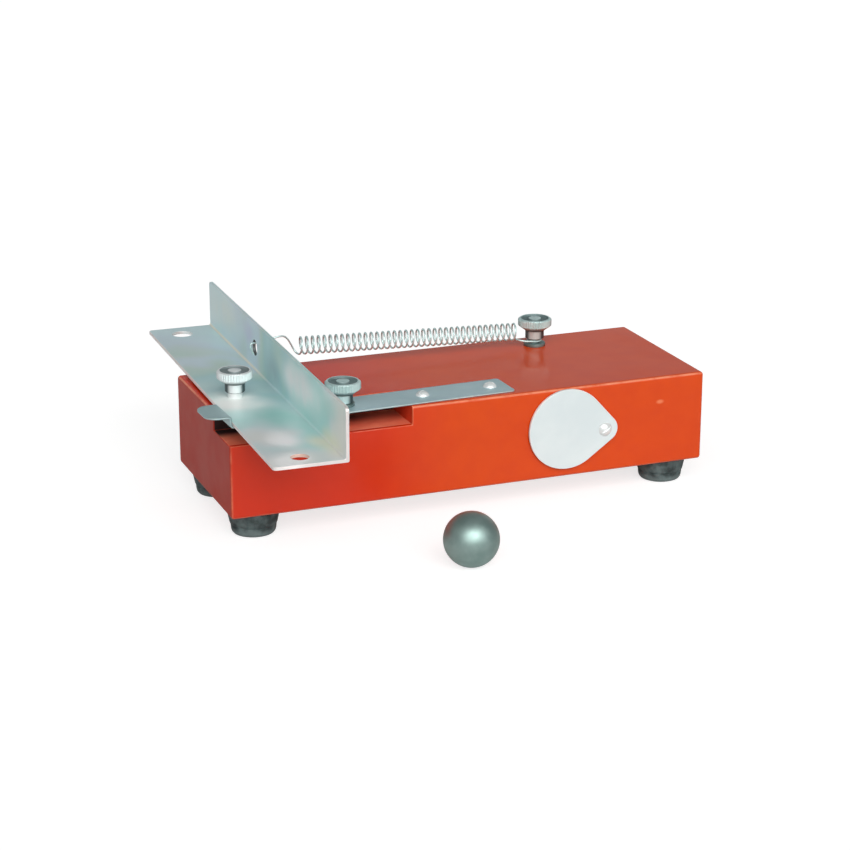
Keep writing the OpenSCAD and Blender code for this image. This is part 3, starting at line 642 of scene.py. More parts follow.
# Painted light: the patches lay highlights, reflections and shade into the film's colour; the
# palest are made matt so that they catch light from any side.
for spot, reach, colour, strength in painted_light_patches:
    near = mark_near(tree, on_plate, spot, reach, 0.1, 1.25)
    near = sums(tree, near, sums(tree, near, wander), "ADD")
    base = blend_colours(tree, sums(tree, near, strength), base, (*colour, 1))
    if min(colour) > 0.95:
        matt = sums(tree, matt, near, "MAXIMUM")
feed(shader, "Metallic", ramp(tree, matt, 0.0, 0.85, 0.5, 0.03))
print("painted_light_patches", len(painted_light_patches), "and the palest are matt")

# %% Painted highlights on the bend, the cut ends and the edges, and painted light and shade on the holes' walls
faces = parts_of(tree, own_space(tree, "Normal"))
in_bend = sums(tree, sums(tree, ramp(tree, plate_z, 1.52, 1.60),
                          ramp(tree, plate_z, 2.6, 2.4)), ramp(tree, plate_x, 19.2, 19.5))
# Painted highlight: a pale straw line along the bend's inner fillet.
bend_highlight = sums(tree, in_bend, ramp(tree, plate_y, 8, 45, 0.0, 0.9))
rubbed_and_lit_edges = sums(tree, edge_lines(tree), sums(tree, 1.0, in_bend, "SUBTRACT"))
# Painted highlight: the cut ends and the flange's free edge are painted pale pink-white,
# together with the edge lines' wear.
lit_end = ramp(tree, sums(tree, faces["Y"], 0, "ABSOLUTE"), 0.80, 0.95)
lit_side = ramp(tree, plate_x, -10.9, -11.15)
worn_and_lit_edges = sums(tree, sums(tree, rubbed_and_lit_edges, lit_end, "MAXIMUM"), lit_side, "MAXIMUM")
base = layered(tree, base, (bend_highlight, (1.0, 0.98, 0.84, 1)),
               (worn_and_lit_edges, (1.0, 0.93, 0.91, 1)))
# each hole is its place, its reach, the radius of its painted wall and the colour painted there:
# shade in the spring's hole, light in the seats
plate_holes = [((right + 0.8, hole_reach, hole_z), (40, 1, 1), spring_hole_r + 0.25,
                (0.05, 0.075, 0.075)),
               ((*rear_seat[:2], 0), (1, 1, 40), rear_seat[2] + 0.2, (0.86, 0.92, 0.92)),
               ((*front_seat[:2], 0), (1, 1, 40), front_seat[2] + 0.2, (0.80, 0.50, 0.40))]
# Painted light and shade: the spring hole's wall is painted dark as shade, the rear seat's pale
# and the front seat's orange as reflected light.
for spot, reach, radius, painted_light_and_shade in plate_holes:
    hole_wall = mark_near(tree, on_plate, spot, reach, radius - 0.25, radius)
    base = blend_colours(tree, sums(tree, hole_wall, 0.9), base, (*painted_light_and_shade, 1))
feed(shader, "Base Color", base)
print("material", zinc.name)

# %% [markdown]
# ## White enamel
# The ball store's cover is a flat stamping with a thin coat of bluish white enamel,
# slightly uneven, with a painted highlight whitening its rim.

# %% Cover enamel
enamel, tree, shader = start_material("white_enamel", ior=1.48)
# Painted highlight: the rim of the cover is painted whiter along its edge lines.
feed(shader, "Base Color", layered(
    tree, (0.76, 0.83, 0.84, 1), (clouds(tree, 55.0, 0.0, 0.7, 5.0), (0.68, 0.76, 0.78, 1)),
    (edge_lines(tree, 300.0, 0.20), (0.98, 0.93, 0.90, 1))))
feed(shader, "Roughness", clouds(tree, 80.0, 0.30, 0.44))
bump(tree, shader, effect(tree, grain_group, Scale=900.0), 0.03 * MM, 0.4)
print("material", enamel.name)

# %% [markdown]
# ## Turning meshes into pieces
# Every new piece ends the same way: doubles are merged, normals are made to point out,
# the mesh takes its material, the piece is told which body it rides on, and the plain
# solid it stands for is hidden. Flat faces keep a flat look through a weighted normal
# modifier, so that rounded edges can be smooth beside them.


# %% Helpers that round edges and pick points, and one that finishes a piece
def round_edges(bm, edges, width, segments):
    """Rounds edges by a width in millimetres."""
    bmesh.ops.bevel(bm, geom=edges, offset=width * MM, offset_type="OFFSET",
                    segments=segments, profile=0.5, affect="EDGES", clamp_overlap=True,
                    material=-1)


def edges_over(bm, degrees):
    """The edges where two faces meet at more than an angle."""
    return [e for e in bm.edges
            if e.is_manifold and e.calc_face_angle() > math.radians(degrees)]


def points_of(geometry):
    """The points among newly made geometry."""
    return [g for g in geometry if isinstance(g, bmesh.types.BMVert)]


def put(bm, spot, turn=Matrix()):
    """Turns a whole mesh and moves it to a spot."""
    bmesh.ops.transform(bm, matrix=Matrix.Translation(spot) @ turn, verts=bm.verts)


def facing_to(way):
    """The turn that points a mesh's own upright along a direction."""
    return Vector(way).to_track_quat("Z", "Y").to_matrix().to_4x4()


def finish_piece(name, bm, material, body, stands_for, width=0.0, segments=3):
    """Makes an object of a bmesh, with its sharp edges rounded by a width."""
    bmesh.ops.remove_doubles(bm, verts=bm.verts, dist=0.001 * MM)
    bmesh.ops.recalc_face_normals(bm, faces=bm.faces)
    if width:
        round_edges(bm, edges_over(bm, 29), width, segments)
    open_edges = sum(1 for e in bm.edges if not e.is_manifold)
    mesh = bpy.data.meshes.new(name)
    bm.to_mesh(mesh)
    bm.free()
    mesh.materials.append(material)
    mesh.shade_smooth()
    piece = add_object(name, mesh)
    even = piece.modifiers.new("even shading", "WEIGHTED_NORMAL")
    even.keep_sharp = True
    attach(piece, body)
    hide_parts(stands_for)
    print(name, "faces", len(mesh.polygons), "open edges", open_edges)
    return piece


# %% Spin a profile about an upright axis
def spun(profile, steps, closed=False):
    """A bmesh turned from a profile of (radius, height) points, in millimetres."""
    bm = bmesh.new()
    verts = [bm.verts.new(at((r, 0, z))) for r, z in profile]
    edges = [bm.edges.new(pair) for pair in zip(verts, verts[1:])]
    if closed:
        edges.append(bm.edges.new((verts[-1], verts[0])))
    bmesh.ops.spin(bm, geom=verts + edges, cent=(0, 0, 0), axis=(0, 0, 1),
                   angle=math.tau, steps=steps, use_merge=True)
    bmesh.ops.remove_doubles(bm, verts=bm.verts, dist=0.001 * MM)
    return bm


# %% Cut one mesh from another
def cut_away(bm, cutters):
    """The bmesh less a list of cutter bmeshes, by exact Boolean."""
    bodies = []
    for number, body in enumerate([bm] + cutters):
        mesh = bpy.data.meshes.new(f"body_{number}")
        bmesh.ops.recalc_face_normals(body, faces=body.faces)
        body.to_mesh(mesh)
        body.free()
        bodies.append(add_object(mesh.name, mesh))
    for tool in bodies[1:]:
        step = bodies[0].modifiers.new("cut", "BOOLEAN")
        step.object = tool
        step.solver = "EXACT"
    graph = bpy.context.evaluated_depsgraph_get()
    result = bmesh.new()
    result.from_object(bodies[0], graph)
    for spent in bodies:
        spent_mesh = spent.data
        bpy.data.objects.remove(spent)
        bpy.data.meshes.remove(spent_mesh)
    bmesh.ops.remove_doubles(result, verts=result.verts, dist=0.001 * MM)
    return result


# %% A drill for round holes
def drill(place, way, radius, depth, steps=48):
    """A cylinder from just before a place (mm), along a direction, to a depth."""
    lead = 1.0
    bm = bmesh.new()
    bmesh.ops.create_cone(bm, cap_ends=True, segments=steps, radius1=radius * MM,
                          radius2=radius * MM, depth=(depth + lead) * MM)
    put(bm, at(place) + Vector(way) * (depth - lead) / 2 * MM, facing_to(way))
    return bm


# %% [markdown]
# ## The painted block
# The block is one piece of wood, sawn square. A rebate along its front top edge gives
# the leaf room to bend, and a blind bore in its front holds a spare ball. It starts as a
# cube, cut by planes where the rebate ends. The corner over the rebate is pushed down as
# a joiner would mill it. Its edges are then rounded, more on the outside than in the
# rebate, and drills cut the bore and the screw holes.

# %% Saw the block and mill its rebate
bm = bmesh.new()
bmesh.ops.create_cube(bm, size=1)
put(bm, (block_low + block_high) / 2, Matrix.Diagonal((*(block_high - block_low), 1)))
for spot, way in (((rebate_end, 0, 0), (1, 0, 0)), ((0, rebate_wall, 0), (0, 1, 0)),
                  ((0, 0, rebate_floor), (0, 0, 1))):
    bmesh.ops.bisect_plane(bm, geom=bm.verts[:] + bm.edges[:] + bm.faces[:],
                           plane_co=spot, plane_no=way, dist=1e-7)


def over_rebate(spot):
    """True for a place over the rebate's floor."""
    return spot.x < rebate_end and spot.y < rebate_wall and spot.z > rebate_floor


corner = [f for f in bm.faces if over_rebate(f.calc_center_median())
          and abs(f.normal.z) > 0.9]
pushed = bmesh.ops.extrude_face_region(bm, geom=corner)["geom"]
bmesh.ops.translate(bm, vec=(0, 0, rebate_floor - block_high.z), verts=points_of(pushed))
slack = 0.01 * MM
spare = [f for f in bm.faces if f.calc_center_median().z > rebate_floor + slack
         and over_rebate(f.calc_center_median())
         and (f.calc_center_median().y < block_low.y + slack
              or f.calc_center_median().x < block_low.x + slack
              or abs(f.normal.z) > 0.9)]
bmesh.ops.delete(bm, geom=spare, context="FACES")
bmesh.ops.remove_doubles(bm, verts=bm.verts, dist=0.01 * MM)
loose = [e for e in bm.edges if not e.link_faces]
bmesh.ops.delete(bm, geom=loose, context="EDGES")
flat_edges = [e for e in bm.edges if e.is_manifold and e.calc_face_angle() < 0.01]
bmesh.ops.dissolve_edges(bm, edges=flat_edges, use_verts=True)
print("milled block:", len(bm.faces), "faces,",
      sum(not e.is_manifold for e in bm.edges), "open edges")

# %% Round the edges, then drill the block
outer_edges = [e for e in bm.edges
               if not all(v.co.x < rebate_end + slack and v.co.y < rebate_wall + slack
                          and v.co.z > rebate_floor - slack for v in e.verts)]
outer_round, inner_round = 1.6, 0.6
round_edges(bm, outer_edges, outer_round, 5)
round_edges(bm, edges_over(bm, 60), inner_round, 3)
store_x, store_r, store_l = 45.7, 13.5, 56
insert_hole_r, cover_hole_r, foot_hole_r = 3.55, 1.8, 2.05
store_z = cover_pin.z / MM
front = block_low.y / MM
top = block_high.z / MM
tools = [drill((store_x, front, store_z), (0, 1, 0), store_r, store_l, steps=96),
         drill((cover_pin.x / MM, front, store_z), (0, 1, 0), cover_hole_r, 15,
               steps=24)]
for spot in (pivot, post):
    mouth = (spot.x / MM, spot.y / MM, top)
    tools.append(drill(mouth, (0, 0, -1), insert_hole_r, insert_l))
    tools.append(drill(mouth, (0, 0, -1), thread_room_r, screw_in_block + 1, steps=32))
for reach in leaf_screw_reaches:
    spot = leaf_root - leaf_way * reach * MM
    tools.append(drill((spot.x / MM, spot.y / MM, top), (0, 0, -1), leaf_hole_r, 11,
                       steps=24))
for foot in feet:
    low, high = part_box(foot)
    middle = (low + high) / 2 / MM
    tools.append(drill((middle.x, middle.y, block_low.z / MM), (0, 0, 1), foot_hole_r,
                       15, steps=24))
bm = cut_away(bm, tools)
finish_piece("painted_block", bm, paint, "base", "base_block")

# %% [markdown]
# ## The rubber feet
# A foot is turned about its screw: a bevel under the block, a slight taper, a groove
# above the thicker rim that stands on the bench, and a sunk hole for the screw's head.

# %% Feet
foot_profile = [(4.8, 6), (2.05, 6), (2.05, 12), (11.0, 12), (11.7, 11.8), (12, 11.2),
                (11.95, 10), (11.25, 6.6), (10.95, 5.2), (10.35, 4.7), (10.25, 4.3),
                (10.5, 3.9), (10.3, 2.0), (10.0, 1.1), (9.4, 0.4), (8.4, 0), (5.1, 0),
                (4.8, 0.3)]
for foot in feet:
    low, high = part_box(foot)
    bm = spun(foot_profile, 72, closed=True)
    put(bm, ((low.x + high.x) / 2, (low.y + high.y) / 2, 0))
    finish_piece(foot.replace("foot", "rubber_foot"), bm, rubber, "base",
                 foot)

# %% [markdown]
# ## The swinging plate
# The plate is a rolled angle: nearly sharp outside, with a small fillet in its inner
# corner. Its section is drawn once, as the rolls would see it, and pushed along the whole
# length. The free corners are then rounded with a bevel, and drills cut the holes, which
# keeps every wall square to the sheet.


# %% Helpers that draw an outline and fill it
def arc(cx, cy, r, start, end, steps):
    """Points of an arc, in degrees."""
    return [(cx + r * math.cos(math.radians(start + (end - start) * i / steps)),
             cy + r * math.sin(math.radians(start + (end - start) * i / steps)))
            for i in range(steps + 1)]


def loop_of(bm, points, lift):
    """Edges round a closed line of points, each put in space by lift."""
    verts = [bm.verts.new(at(lift(*p))) for p in points]
    return [bm.edges.new(pair) for pair in zip(verts, verts[1:] + verts[:1])]


def fill_sheet(bm, outline, holes, lift):
    """Fills an outline around round holes given as (x, y, radius)."""
    edges = loop_of(bm, outline, lift)
    for x, y, r in holes:
        edges += loop_of(bm, arc(x, y, r, 0, 360 - 360 / 48, 47), lift)
    bmesh.ops.triangle_fill(bm, edges=edges, use_beauty=True, use_dissolve=False)
    return edges


# %% Roll the angle, round its corners and drill it
fillet_r, outer_r, corner_r = 1.0, 0.8, 2.0
section = ([(-left, 0)] + arc(right + plate_t - outer_r, outer_r, outer_r, -90, 0, 4)
           + [(right + plate_t, up + plate_t), (right, up + plate_t)]
           + arc(right - fillet_r, plate_t + fillet_r, fillet_r, 0, -90, 6)
           + [(-left, plate_t)])
bm = bmesh.new()
fill_sheet(bm, section, [], lambda x, z: (x, -ahead, z))
grown = bmesh.ops.extrude_face_region(bm, geom=bm.faces[:])["geom"]
bmesh.ops.translate(bm, vec=(0, (rear + ahead) * MM, 0), verts=points_of(grown))
bmesh.ops.dissolve_limit(bm, angle_limit=0.01, verts=bm.verts, edges=bm.edges)
corners = [e for e in bm.edges if abs(e.calc_length() - plate_t * MM) < slack
           and (all(v.co.x < -(left - 0.01) * MM for v in e.verts)
                or all(v.co.z > (up + plate_t - 0.01) * MM for v in e.verts))]
round_edges(bm, corners, corner_r, 6)
bores = [drill((x, y, 0), (0, 0, 1), r, 3, steps=64)
         for x, y, r in ((0, 0, sleeve_hole_r), rear_seat, front_seat)]
bores.append(drill((right, hole_reach, hole_z), (1, 0, 0), spring_hole_r, 3, steps=64))
print("rounded", len(corners), "corners, drilled", len(bores), "holes")
bm = cut_away(bm, bores)
put(bm, (pivot.x, pivot.y, plate_low.z), Matrix.Rotation(-plate_skew, 4, "Z"))
finish_piece("angle_plate", bm, zinc, "plate", "swing_plate",
             width=0.18, segments=2)

# %% [markdown]
# ## The knurled screws
# Three M4 screws with the same knurled head hold the plate, the leaf's knob and the
# spring. Each is turned from bar: a dished top with a boss, a knurled rim, a cone and a
# neck. The rim's ring of points is pushed in and out in turn to press the knurls, which
# a bump map would lose at the outline. The thread is a row of fine ridges.


# %% Turn a knurled screw
def knurled_screw(name, foot_point, grip, body, node_name, finish=nickel):
    """A knurled screw whose neck seats at foot_point and whose shank reaches down."""
    rim, knurl, neck, neck_h, cone = 8.25, 0.4, 4.6, 4.2, 1.8
    base, head = neck_h + cone, neck_h + cone + 4.2
    disc = rim - knurl
    shank = [(0, -grip), (1.5, -grip), (1.95, -grip + 0.5)]
    pitch = 0.7
    turns = int((grip - 1.2) / pitch)
    for ridge in range(turns):
        z = -grip + 0.6 + ridge * pitch
        shank += [(1.95, z), (1.72, z + pitch / 2)]
    shank += [(1.95, -0.5), (1.95, 0)]
    profile = shank + [(neck - 0.35, 0), (neck, 0.35), (neck, neck_h - 0.3),
                       (neck + 0.35, neck_h), (disc - 0.7, base - 0.1),
                       (disc - 0.45, base), (disc, base + 0.5), (rim, base + 0.62),
                       (rim, head - 0.62), (disc, head - 0.5), (disc - 0.4, head - 0.08),
                       (disc - 0.7, head), (6.85, head), (6.65, head - 0.15),
                       (6.6, head - 0.85), (6.4, head - 1.0), (3.5, head - 1.0),
                       (3.25, head - 0.85), (3.2, head - 0.3), (2.9, head - 0.02),
                       (0, head)]
    bm = spun(profile, 160)
    for vert in bm.verts:
        radius = vert.co.xy.length / MM
        if radius > rim - 0.01:
            step = round(math.atan2(vert.co.y, vert.co.x) / math.tau * 160) % 4
            sunk = (0, knurl, 2 * knurl, knurl)[step]
            vert.co.xy *= (rim - sunk) / radius
    sunk_ring = bm.verts.layers.float.new("sunk_ring")
    on_neck = bm.verts.layers.float.new("neck")
    for vert in bm.verts:
        radius = vert.co.xy.length / MM
        in_ring = 3.1 < radius < 6.75 and vert.co.z > (head - 1.1) * MM
        vert[sunk_ring] = float(in_ring and vert.co.z < (head - 0.1) * MM)
        vert[on_neck] = float(radius > 2 and -0.1 * MM < vert.co.z < (neck_h + 0.1) * MM)
    put(bm, foot_point)
    finish_piece(name, bm, finish, body, node_name)


# %% Three screws, each standing at its own height above the block
top_z = block_high.z
sleeve_h = washer_t + plate_t + 2.7
knob_seat = leaf_t + collar_t
post_seat = collar_t + wire + 2 * loop_gap
knob_place = leaf_root + leaf_way * knob_reach * MM


def above_block(place, height):
    """A place over the block's top, at a height in millimetres."""
    return Vector((place.x, place.y, top_z + height * MM))


knurled_screw("plate_screw", above_block(pivot, sleeve_h), sleeve_h + screw_in_block,
              "pivot_screw", "pivot_screw", lit_copy_nickel)
knurled_screw("leaf_knob", above_block(knob_place, knob_seat), knob_seat + 3.4,
              "trigger_knob", "trigger_knob")
knurled_screw("spring_anchor", above_block(post, post_seat), post_seat + screw_in_block,
              "spring_post", "spring_post")

# %% [markdown]
# ## Washers, collars and the sleeve
# Small turned rings carry the screws. Each is a closed profile spun once, with its edges
# broken as a turner leaves them.


# %% Turned rings
def turned_ring(name, place, outer, inner, height, body, node_name, chamfer=0.2,
                finish=plated_steel):
    """A ring with bevelled edges, standing on a place."""
    profile = [(inner, 0.05), (inner + 0.05, 0), (outer - chamfer, 0), (outer, chamfer),
               (outer, height - chamfer), (outer - chamfer, height),
               (inner + 0.1, height), (inner, height - 0.1)]
    bm = spun(profile, 64, closed=True)
    put(bm, place)
    finish_piece(name, bm, finish, body, node_name)


collar_r = 5.3
turned_ring("bearing_washer", above_block(pivot, 0), 6.0, sleeve_hole_r, washer_t, "base",
            "plate_washer")
turned_ring("bearing_sleeve", above_block(pivot, 0), 3.4, thread_room_r, sleeve_h, "base",
            "pivot_bush", 0.15)
turned_ring("spring_collar", above_block(post, 0), collar_r, thread_room_r, collar_t,
            "base", "post_collar", finish=collar_shade_steel)
turned_ring("knob_ring", above_block(knob_place, leaf_t), collar_r, thread_room_r,
            collar_t, "trigger", "knob_collar", finish=collar_shade_steel)

# %% [markdown]
# ## The leaf
# The trigger is a strip of blue-grey spring steel. It is screwed down on the block and
# runs free over the rebate, under the plate, and steps up into a rounded catch beyond
# the plate's edge. It bends when pressed, so it needs many rows along its length: its
# side view is drawn as a line and pushed across the width in steps. The rows at the
# tip are then drawn in to round the catch.

# %% Leaf sizes
leaf_w, root_l = 20.0, 52.0
catch_h, catch_l, catch_r = 4.7, 11.0, 6.0
leaf_low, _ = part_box("trigger_strip")
catch_s = (leaf_root.x - leaf_low.x) / MM / math.cos(leaf_turn) - catch_l - 0.14
print("catch rises", round(catch_s, 2), "mm from the rebate's end")

# %% Draw the leaf's side view and push it across
root_r = 1.5
columns = [(-root_l + root_r * (1 - math.cos(math.radians(a))), leaf_t)
           for a in (0, 22.5, 45, 67.5, 90)]
columns += [(-root_l + root_r + i * (root_l - root_r) / 12, leaf_t) for i in range(1, 13)]
columns += [(i, leaf_t) for i in range(1, int(catch_s) - 1)]
columns += [(catch_s - 0.9, leaf_t), (catch_s - 0.35, leaf_t + 0.1),
            (catch_s - 0.05, leaf_t + 0.4), (catch_s + 0.05, leaf_t + 0.9),
            (catch_s + 0.05, leaf_t + catch_h - 0.9),
            (catch_s + 0.15, leaf_t + catch_h - 0.4),
            (catch_s + 0.45, leaf_t + catch_h - 0.1),
            (catch_s + 0.95, leaf_t + catch_h)]
tip_s = catch_s + catch_l
columns += [(catch_s + 2, leaf_t + catch_h), (catch_s + 3.5, leaf_t + catch_h)]
columns += [(tip_s - catch_r * (1 - math.sin(math.radians(a))), leaf_t + catch_h)
            for a in range(0, 91, 10)]
bm = bmesh.new()
verts = [bm.verts.new(at((-s, -leaf_w / 2, z))) for s, z in columns]
row = [bm.edges.new(pair) for pair in zip(verts, verts[1:])]
across = 16
for step in range(across):
    grown = bmesh.ops.extrude_edge_only(bm, edges=row)["geom"]
    bmesh.ops.translate(bm, vec=(0, leaf_w / across * MM, 0), verts=points_of(grown))
    row = [g for g in grown if isinstance(g, bmesh.types.BMEdge)
           and abs(g.verts[0].co.y - g.verts[1].co.y) < 1e-7]
for vert in bm.verts:
    s = -vert.co.x / MM
    for end, radius, inward in ((tip_s, catch_r, 1), (-root_l, root_r, -1)):
        reach = (end - s) * inward
        if reach < radius:
            rest = radius - max(reach, 0)
            half = leaf_w / 2 - radius + math.sqrt(max(radius ** 2 - rest ** 2, 0))
            vert.co.y *= half / (leaf_w / 2)
bmesh.ops.recalc_face_normals(bm, faces=bm.faces)
flat_face = min(bm.faces,
                key=lambda f: (f.calc_center_median() - at((10, 0, leaf_t))).length)
if flat_face.normal.z < 0:
    bmesh.ops.reverse_faces(bm, faces=bm.faces)
bmesh.ops.solidify(bm, geom=bm.faces[:], thickness=leaf_t * MM)
print("leaf sheet from", round(min(v.co.z for v in bm.verts) / MM, 2), "mm")
holes = [drill((-knob_reach, 0, -2), (0, 0, 1), thread_room_r, 8, steps=32)]
holes += [drill((reach, 0, -2), (0, 0, 1), leaf_hole_r, 8, steps=24)
          for reach in leaf_screw_reaches]
bm = cut_away(bm, holes)
put(bm, above_block(leaf_root, 0), Matrix.Rotation(leaf_turn, 4, "Z"))
leaf = finish_piece("leaf_spring", bm, leaf_steel, "base", "trigger_strip")
leaf.parent = None
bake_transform(leaf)


# %% [markdown]
# ## The slotted screws
# Two small round-headed screws hold the leaf and one holds the cover. A head is an arc
# spun into a dome and slotted by a thin box, with a hair of a bevel on the slot's lips.

# %% Slotted dome heads
def dome_screw(name, seat, way, node_name, slot_turn, head_d, head_h, slot, grip, shank):
    """A slotted round-headed screw: its head seats at seat and faces along way."""
    ball = (head_d ** 2 / 4 + head_h ** 2) / (2 * head_h)
    swing = math.degrees(math.asin(head_d / 2 / ball))
    profile = [(0, -grip), (shank * 0.7, -grip), (shank, -grip + 0.8), (shank, 0),
               (head_d / 2 - 0.1, 0)]
    profile += arc(0, head_h - ball, ball, 90 - swing, 90, 8)
    bm = spun(profile, 48)
    cutter = bmesh.new()
    bmesh.ops.create_cube(cutter, size=1)
    put(cutter, at((0, 0, head_h * 1.05)),
        Matrix.Rotation(math.radians(slot_turn), 4, "Z")
        @ Matrix.Diagonal((head_d * 2 * MM, slot * MM, head_h * MM, 1)))
    bm = cut_away(bm, [cutter])
    put(bm, seat, facing_to(way))
    finish_piece(name, bm, plated_steel, "base", node_name, width=0.06,
                 segments=2)


for number, (reach, slot_turn) in enumerate(zip(leaf_screw_reaches, (35, -20)), 1):
    dome_screw(f"leaf_screw_{number}", above_block(leaf_root - leaf_way * reach * MM, leaf_t),
               (0, 0, 1), "strip_screws", slot_turn, head_d=6.4, head_h=2.1, slot=0.8,
               grip=10.8, shank=1.5)
cover_lift = cover_washer_t + cover_t + cover_play
dome_screw("cover_pivot", cover_pin + Vector((0, -cover_lift * MM, 0)), (0, -1, 0),
           "cover_screw", 30, head_d=6.8, head_h=1.9, slot=0.9, grip=16, shank=1.75)

# %% [markdown]
# ## The cover
# The ball store is closed by a flat stamping shaped like a drop. It turns about a screw
# at its narrow end. Two arcs joined by tangents give its outline, which is filled around
# the screw's hole, pushed out by its thickness and bevelled.

# %% Stamp the cover
cover_r, tip_r, arm = 19.4, 6.5, 19.4
cover_tilt = math.radians(6.3)
touch = math.degrees(math.acos((cover_r - tip_r) / arm))
outline = (arc(-arm, 0, cover_r, touch, 360 - touch, 64)
           + arc(0, 0, tip_r, -touch, touch, 24))
bm = bmesh.new()
fill_sheet(bm, outline, [(0, 0, 1.87)], lambda x, y: (x, y, 0))
bmesh.ops.recalc_face_normals(bm, faces=bm.faces)
bmesh.ops.solidify(bm, geom=bm.faces[:], thickness=cover_t * MM)
put(bm, (0, 0, -min(v.co.z for v in bm.verts)))
put(bm, cover_pin + Vector((0, -cover_washer_t * MM, 0)),
    Matrix.Rotation(math.radians(90), 4, "X") @ Matrix.Rotation(-cover_tilt, 4, "Z"))
finish_piece("store_cover", bm, enamel, "cover", "storage_cover", width=0.3)

# %% [markdown]
# ## The spring
# An open coil of bright wire pulls on the plate. Its wire runs from a flat loop round
# the post, through thirty-eight curls, over an arch and into a hook in the plate's hole.
# The same line shapes the imported solid. Here it has more points, and a curve with a round
# bevel becomes its mesh.

# %% Spring sizes
coil_out, curls = 9.0, 38
hole_side = right + plate_t / 2
hole = Vector((pivot.x / MM + hole_reach * math.sin(plate_skew)
               + hole_side * math.cos(plate_skew),
               pivot.y / MM + hole_reach * math.cos(plate_skew)
               - hole_side * math.sin(plate_skew)))
post_mm = post.xy / MM
spring_l = (hole - post_mm).length
spring_way = math.atan2(hole.y - post_mm.y, hole.x - post_mm.x)
coil_r = (coil_out - wire) / 2
loop_r = (5.2 + wire) / 2
print("spring", round(spring_l, 2), "mm long, turned", round(math.degrees(spring_way), 2))


# %% The wire's line: loop, rise, coil, arch and hook
def curve_points(a, b, c, d, steps):
    """Points inside a cubic curve from a to d with handles b and c."""
    spots = []
    for i in range(1, steps):
        t = i / steps
        spots.append((1 - t) ** 3 * a + 3 * t * (1 - t) ** 2 * b
                     + 3 * t * t * (1 - t) * c + t ** 3 * d)
    return spots


loop_z = collar_t + loop_gap + wire / 2
loop_open = math.radians(60)
loop_end = Vector((loop_r * math.cos(loop_open), -loop_r * math.sin(loop_open), loop_z))
loop_tail = Vector((math.sin(loop_open), math.cos(loop_open), 0))
coil_start, coil_gap = 9.6, 20.5
z_post, z_plate = 7.8, 12.2
lead = spring_l - coil_start - coil_gap
line = [loop_end + 2 * wire * loop_tail, loop_end + wire * loop_tail]
for i in range(33):
    a = -loop_open - math.radians(210) * i / 32
    line.append(Vector((loop_r * math.cos(a), loop_r * math.sin(a), loop_z)))
loop_out = Vector((0, loop_r, loop_z))
coil_first = Vector((coil_start, 0, z_post - coil_r))
coil_last = Vector((coil_start + lead, 0, z_plate - coil_r))
line += curve_points(loop_out, loop_out + Vector((coil_start / 2, 0, 0)),
                     coil_first + Vector((-0.6, 0.6 * coil_r, 0)), coil_first, 14)
rings = 20
for i in range(curls * rings + 1):
    t = i / (curls * rings)
    a = math.radians(-90) - math.tau * i / rings
    line.append(Vector((coil_start + t * lead, coil_r * math.cos(a),
                        z_post + t * (z_plate - z_post) + coil_r * math.sin(a))))
arch_top = coil_last + Vector((8.2, 0.6, 2 * coil_r + 1.6))
line += curve_points(coil_last, coil_last + Vector((1.5, -1.2 * coil_r, 0)),
                     arch_top + Vector((-4.6, -1.6, -0.4)), arch_top, 18)
line.append(arch_top)
hook_r, hook_out, hook_turn, hook_gap, hook_drop = 1.2, 1.0, 110, 0.3, 1.0
hook_z = washer_t + hole_z + spring_hole_r - wire / 2 - hook_drop
hook_x = spring_l + plate_t / 2 + hook_out
hole_entry = Vector((spring_l - plate_t / 2 - wire, 0, hook_z))
line += curve_points(arch_top, arch_top + Vector((3.6, 0.4, 0.3)),
                     hole_entry + Vector((-4, 0, 0)), hole_entry, 14)
line.append(hole_entry)
for i in range(15):
    a = math.radians(90 - i * hook_turn / 14)
    line.append(Vector((hook_x + hook_r * math.cos(a), 0,
                        hook_z - hook_r * (1 - math.sin(a)))))
hook_end = math.radians(90 - hook_turn)
tail = ((line[-1].x - spring_l - plate_t / 2 - hook_gap - wire / 2)
        / math.sin(-hook_end))
line.append(line[-1] + tail * Vector((math.sin(hook_end), 0, -math.cos(hook_end))))
print("wire line of", len(line), "points")

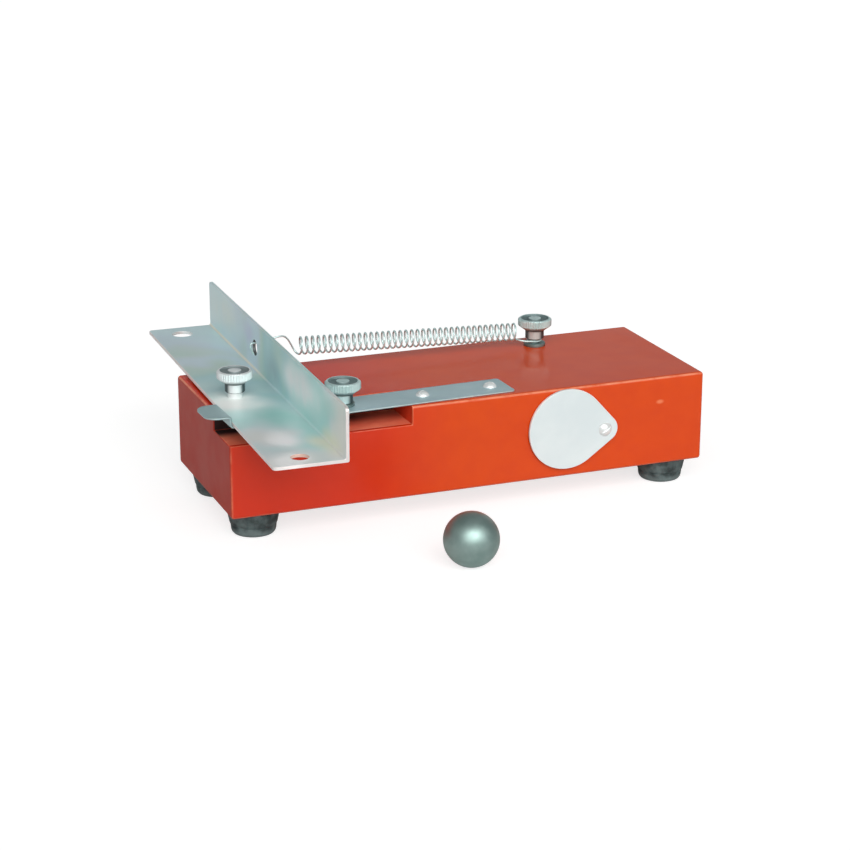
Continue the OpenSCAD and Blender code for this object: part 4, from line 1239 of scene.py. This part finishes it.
# %% Draw the wire and make it a mesh
wire_curve = bpy.data.curves.new("wire_line", "CURVE")
wire_curve.dimensions = "3D"
wire_curve.bevel_depth = wire / 2 * MM
wire_curve.bevel_resolution = 3
wire_curve.use_fill_caps = True
strand = wire_curve.splines.new("POLY")
strand.points.add(len(line) - 1)
for spot, target in zip(line, strand.points):
    target.co = (*(spot * MM), 1)
curve_object = add_object("wire_line", wire_curve)
graph = bpy.context.evaluated_depsgraph_get()
wire_mesh = bpy.data.meshes.new_from_object(curve_object.evaluated_get(graph))
bpy.data.objects.remove(curve_object)
bpy.data.curves.remove(wire_curve)
bm = bmesh.new()
bm.from_mesh(wire_mesh)
bpy.data.meshes.remove(wire_mesh)
put(bm, above_block(post, 0), Matrix.Rotation(spring_way, 4, "Z"))
spring = finish_piece("coil_spring", bm, wire_steel, "spring", "spring")
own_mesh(spring)

# %% [markdown]
# ## The balls
# Both balls are 25 mm bearing balls, dulled by use. A half circle spun round gives a
# ball whose rows follow its grinding lines, and its finish does the rest.

# %% Turn the balls
ball_r = 12.5
half = arc(0, 0, ball_r, -90, 90, 60)
for name, node_name in (("loose_ball", "bench_ball"), ("spare_ball", "stored_ball")):
    low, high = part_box(node_name)
    bm = spun(half, 120)
    put(bm, (low + high) / 2)
    finish_piece(name, bm, ball_steel, node_name, node_name)

# %% [markdown]
# ## Solids that stay as they are
# The inserts, the nut, the foot screws and the cover's washer are simple turned or
# milled parts that hardly show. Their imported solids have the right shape, so they only
# take a finish.

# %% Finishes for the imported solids
kept = {"foot_screws": plated_steel, "trigger_nut": plated_steel,
        "cover_washer": plated_steel, "pivot_insert": brass, "post_insert": brass}
for name, material in kept.items():
    solid = frame["nodes"][name]
    for slot in solid.material_slots:
        slot.material = material
print("kept", sorted(kept))

# %% [markdown]
# ## The floor
# The object stands on plain white card. The card is lit by the same light and glows a
# little to the camera alone, so that it stays white without throwing that glow on the
# block.

# %% Floor
floor_mesh = bpy.data.meshes.new("floor")
bm = bmesh.new()
bmesh.ops.create_grid(bm, x_segments=8, y_segments=8, size=4)
bm.to_mesh(floor_mesh)
bm.free()
floor = add_object("floor", floor_mesh)
card, tree, shader = start_material("white_card", roughness=0.9)
seen = node(tree, "ShaderNodeLightPath").outputs["Is Camera Ray"]
paper = blend_colours(tree, clouds(tree, 300.0), (0.45, 0.45, 0.45, 1),
                      (0.43, 0.43, 0.43, 1))
feed(shader, "Base Color", blend_colours(tree, seen, (0.74, 0.74, 0.74, 1), paper))
shader.inputs["Emission Color"].default_value = (1, 1, 1, 1)
feed(shader, "Emission Strength", sums(tree, seen, 0.74))
floor_mesh.materials.append(card)
print("floor", floor.name, "with", card.name)
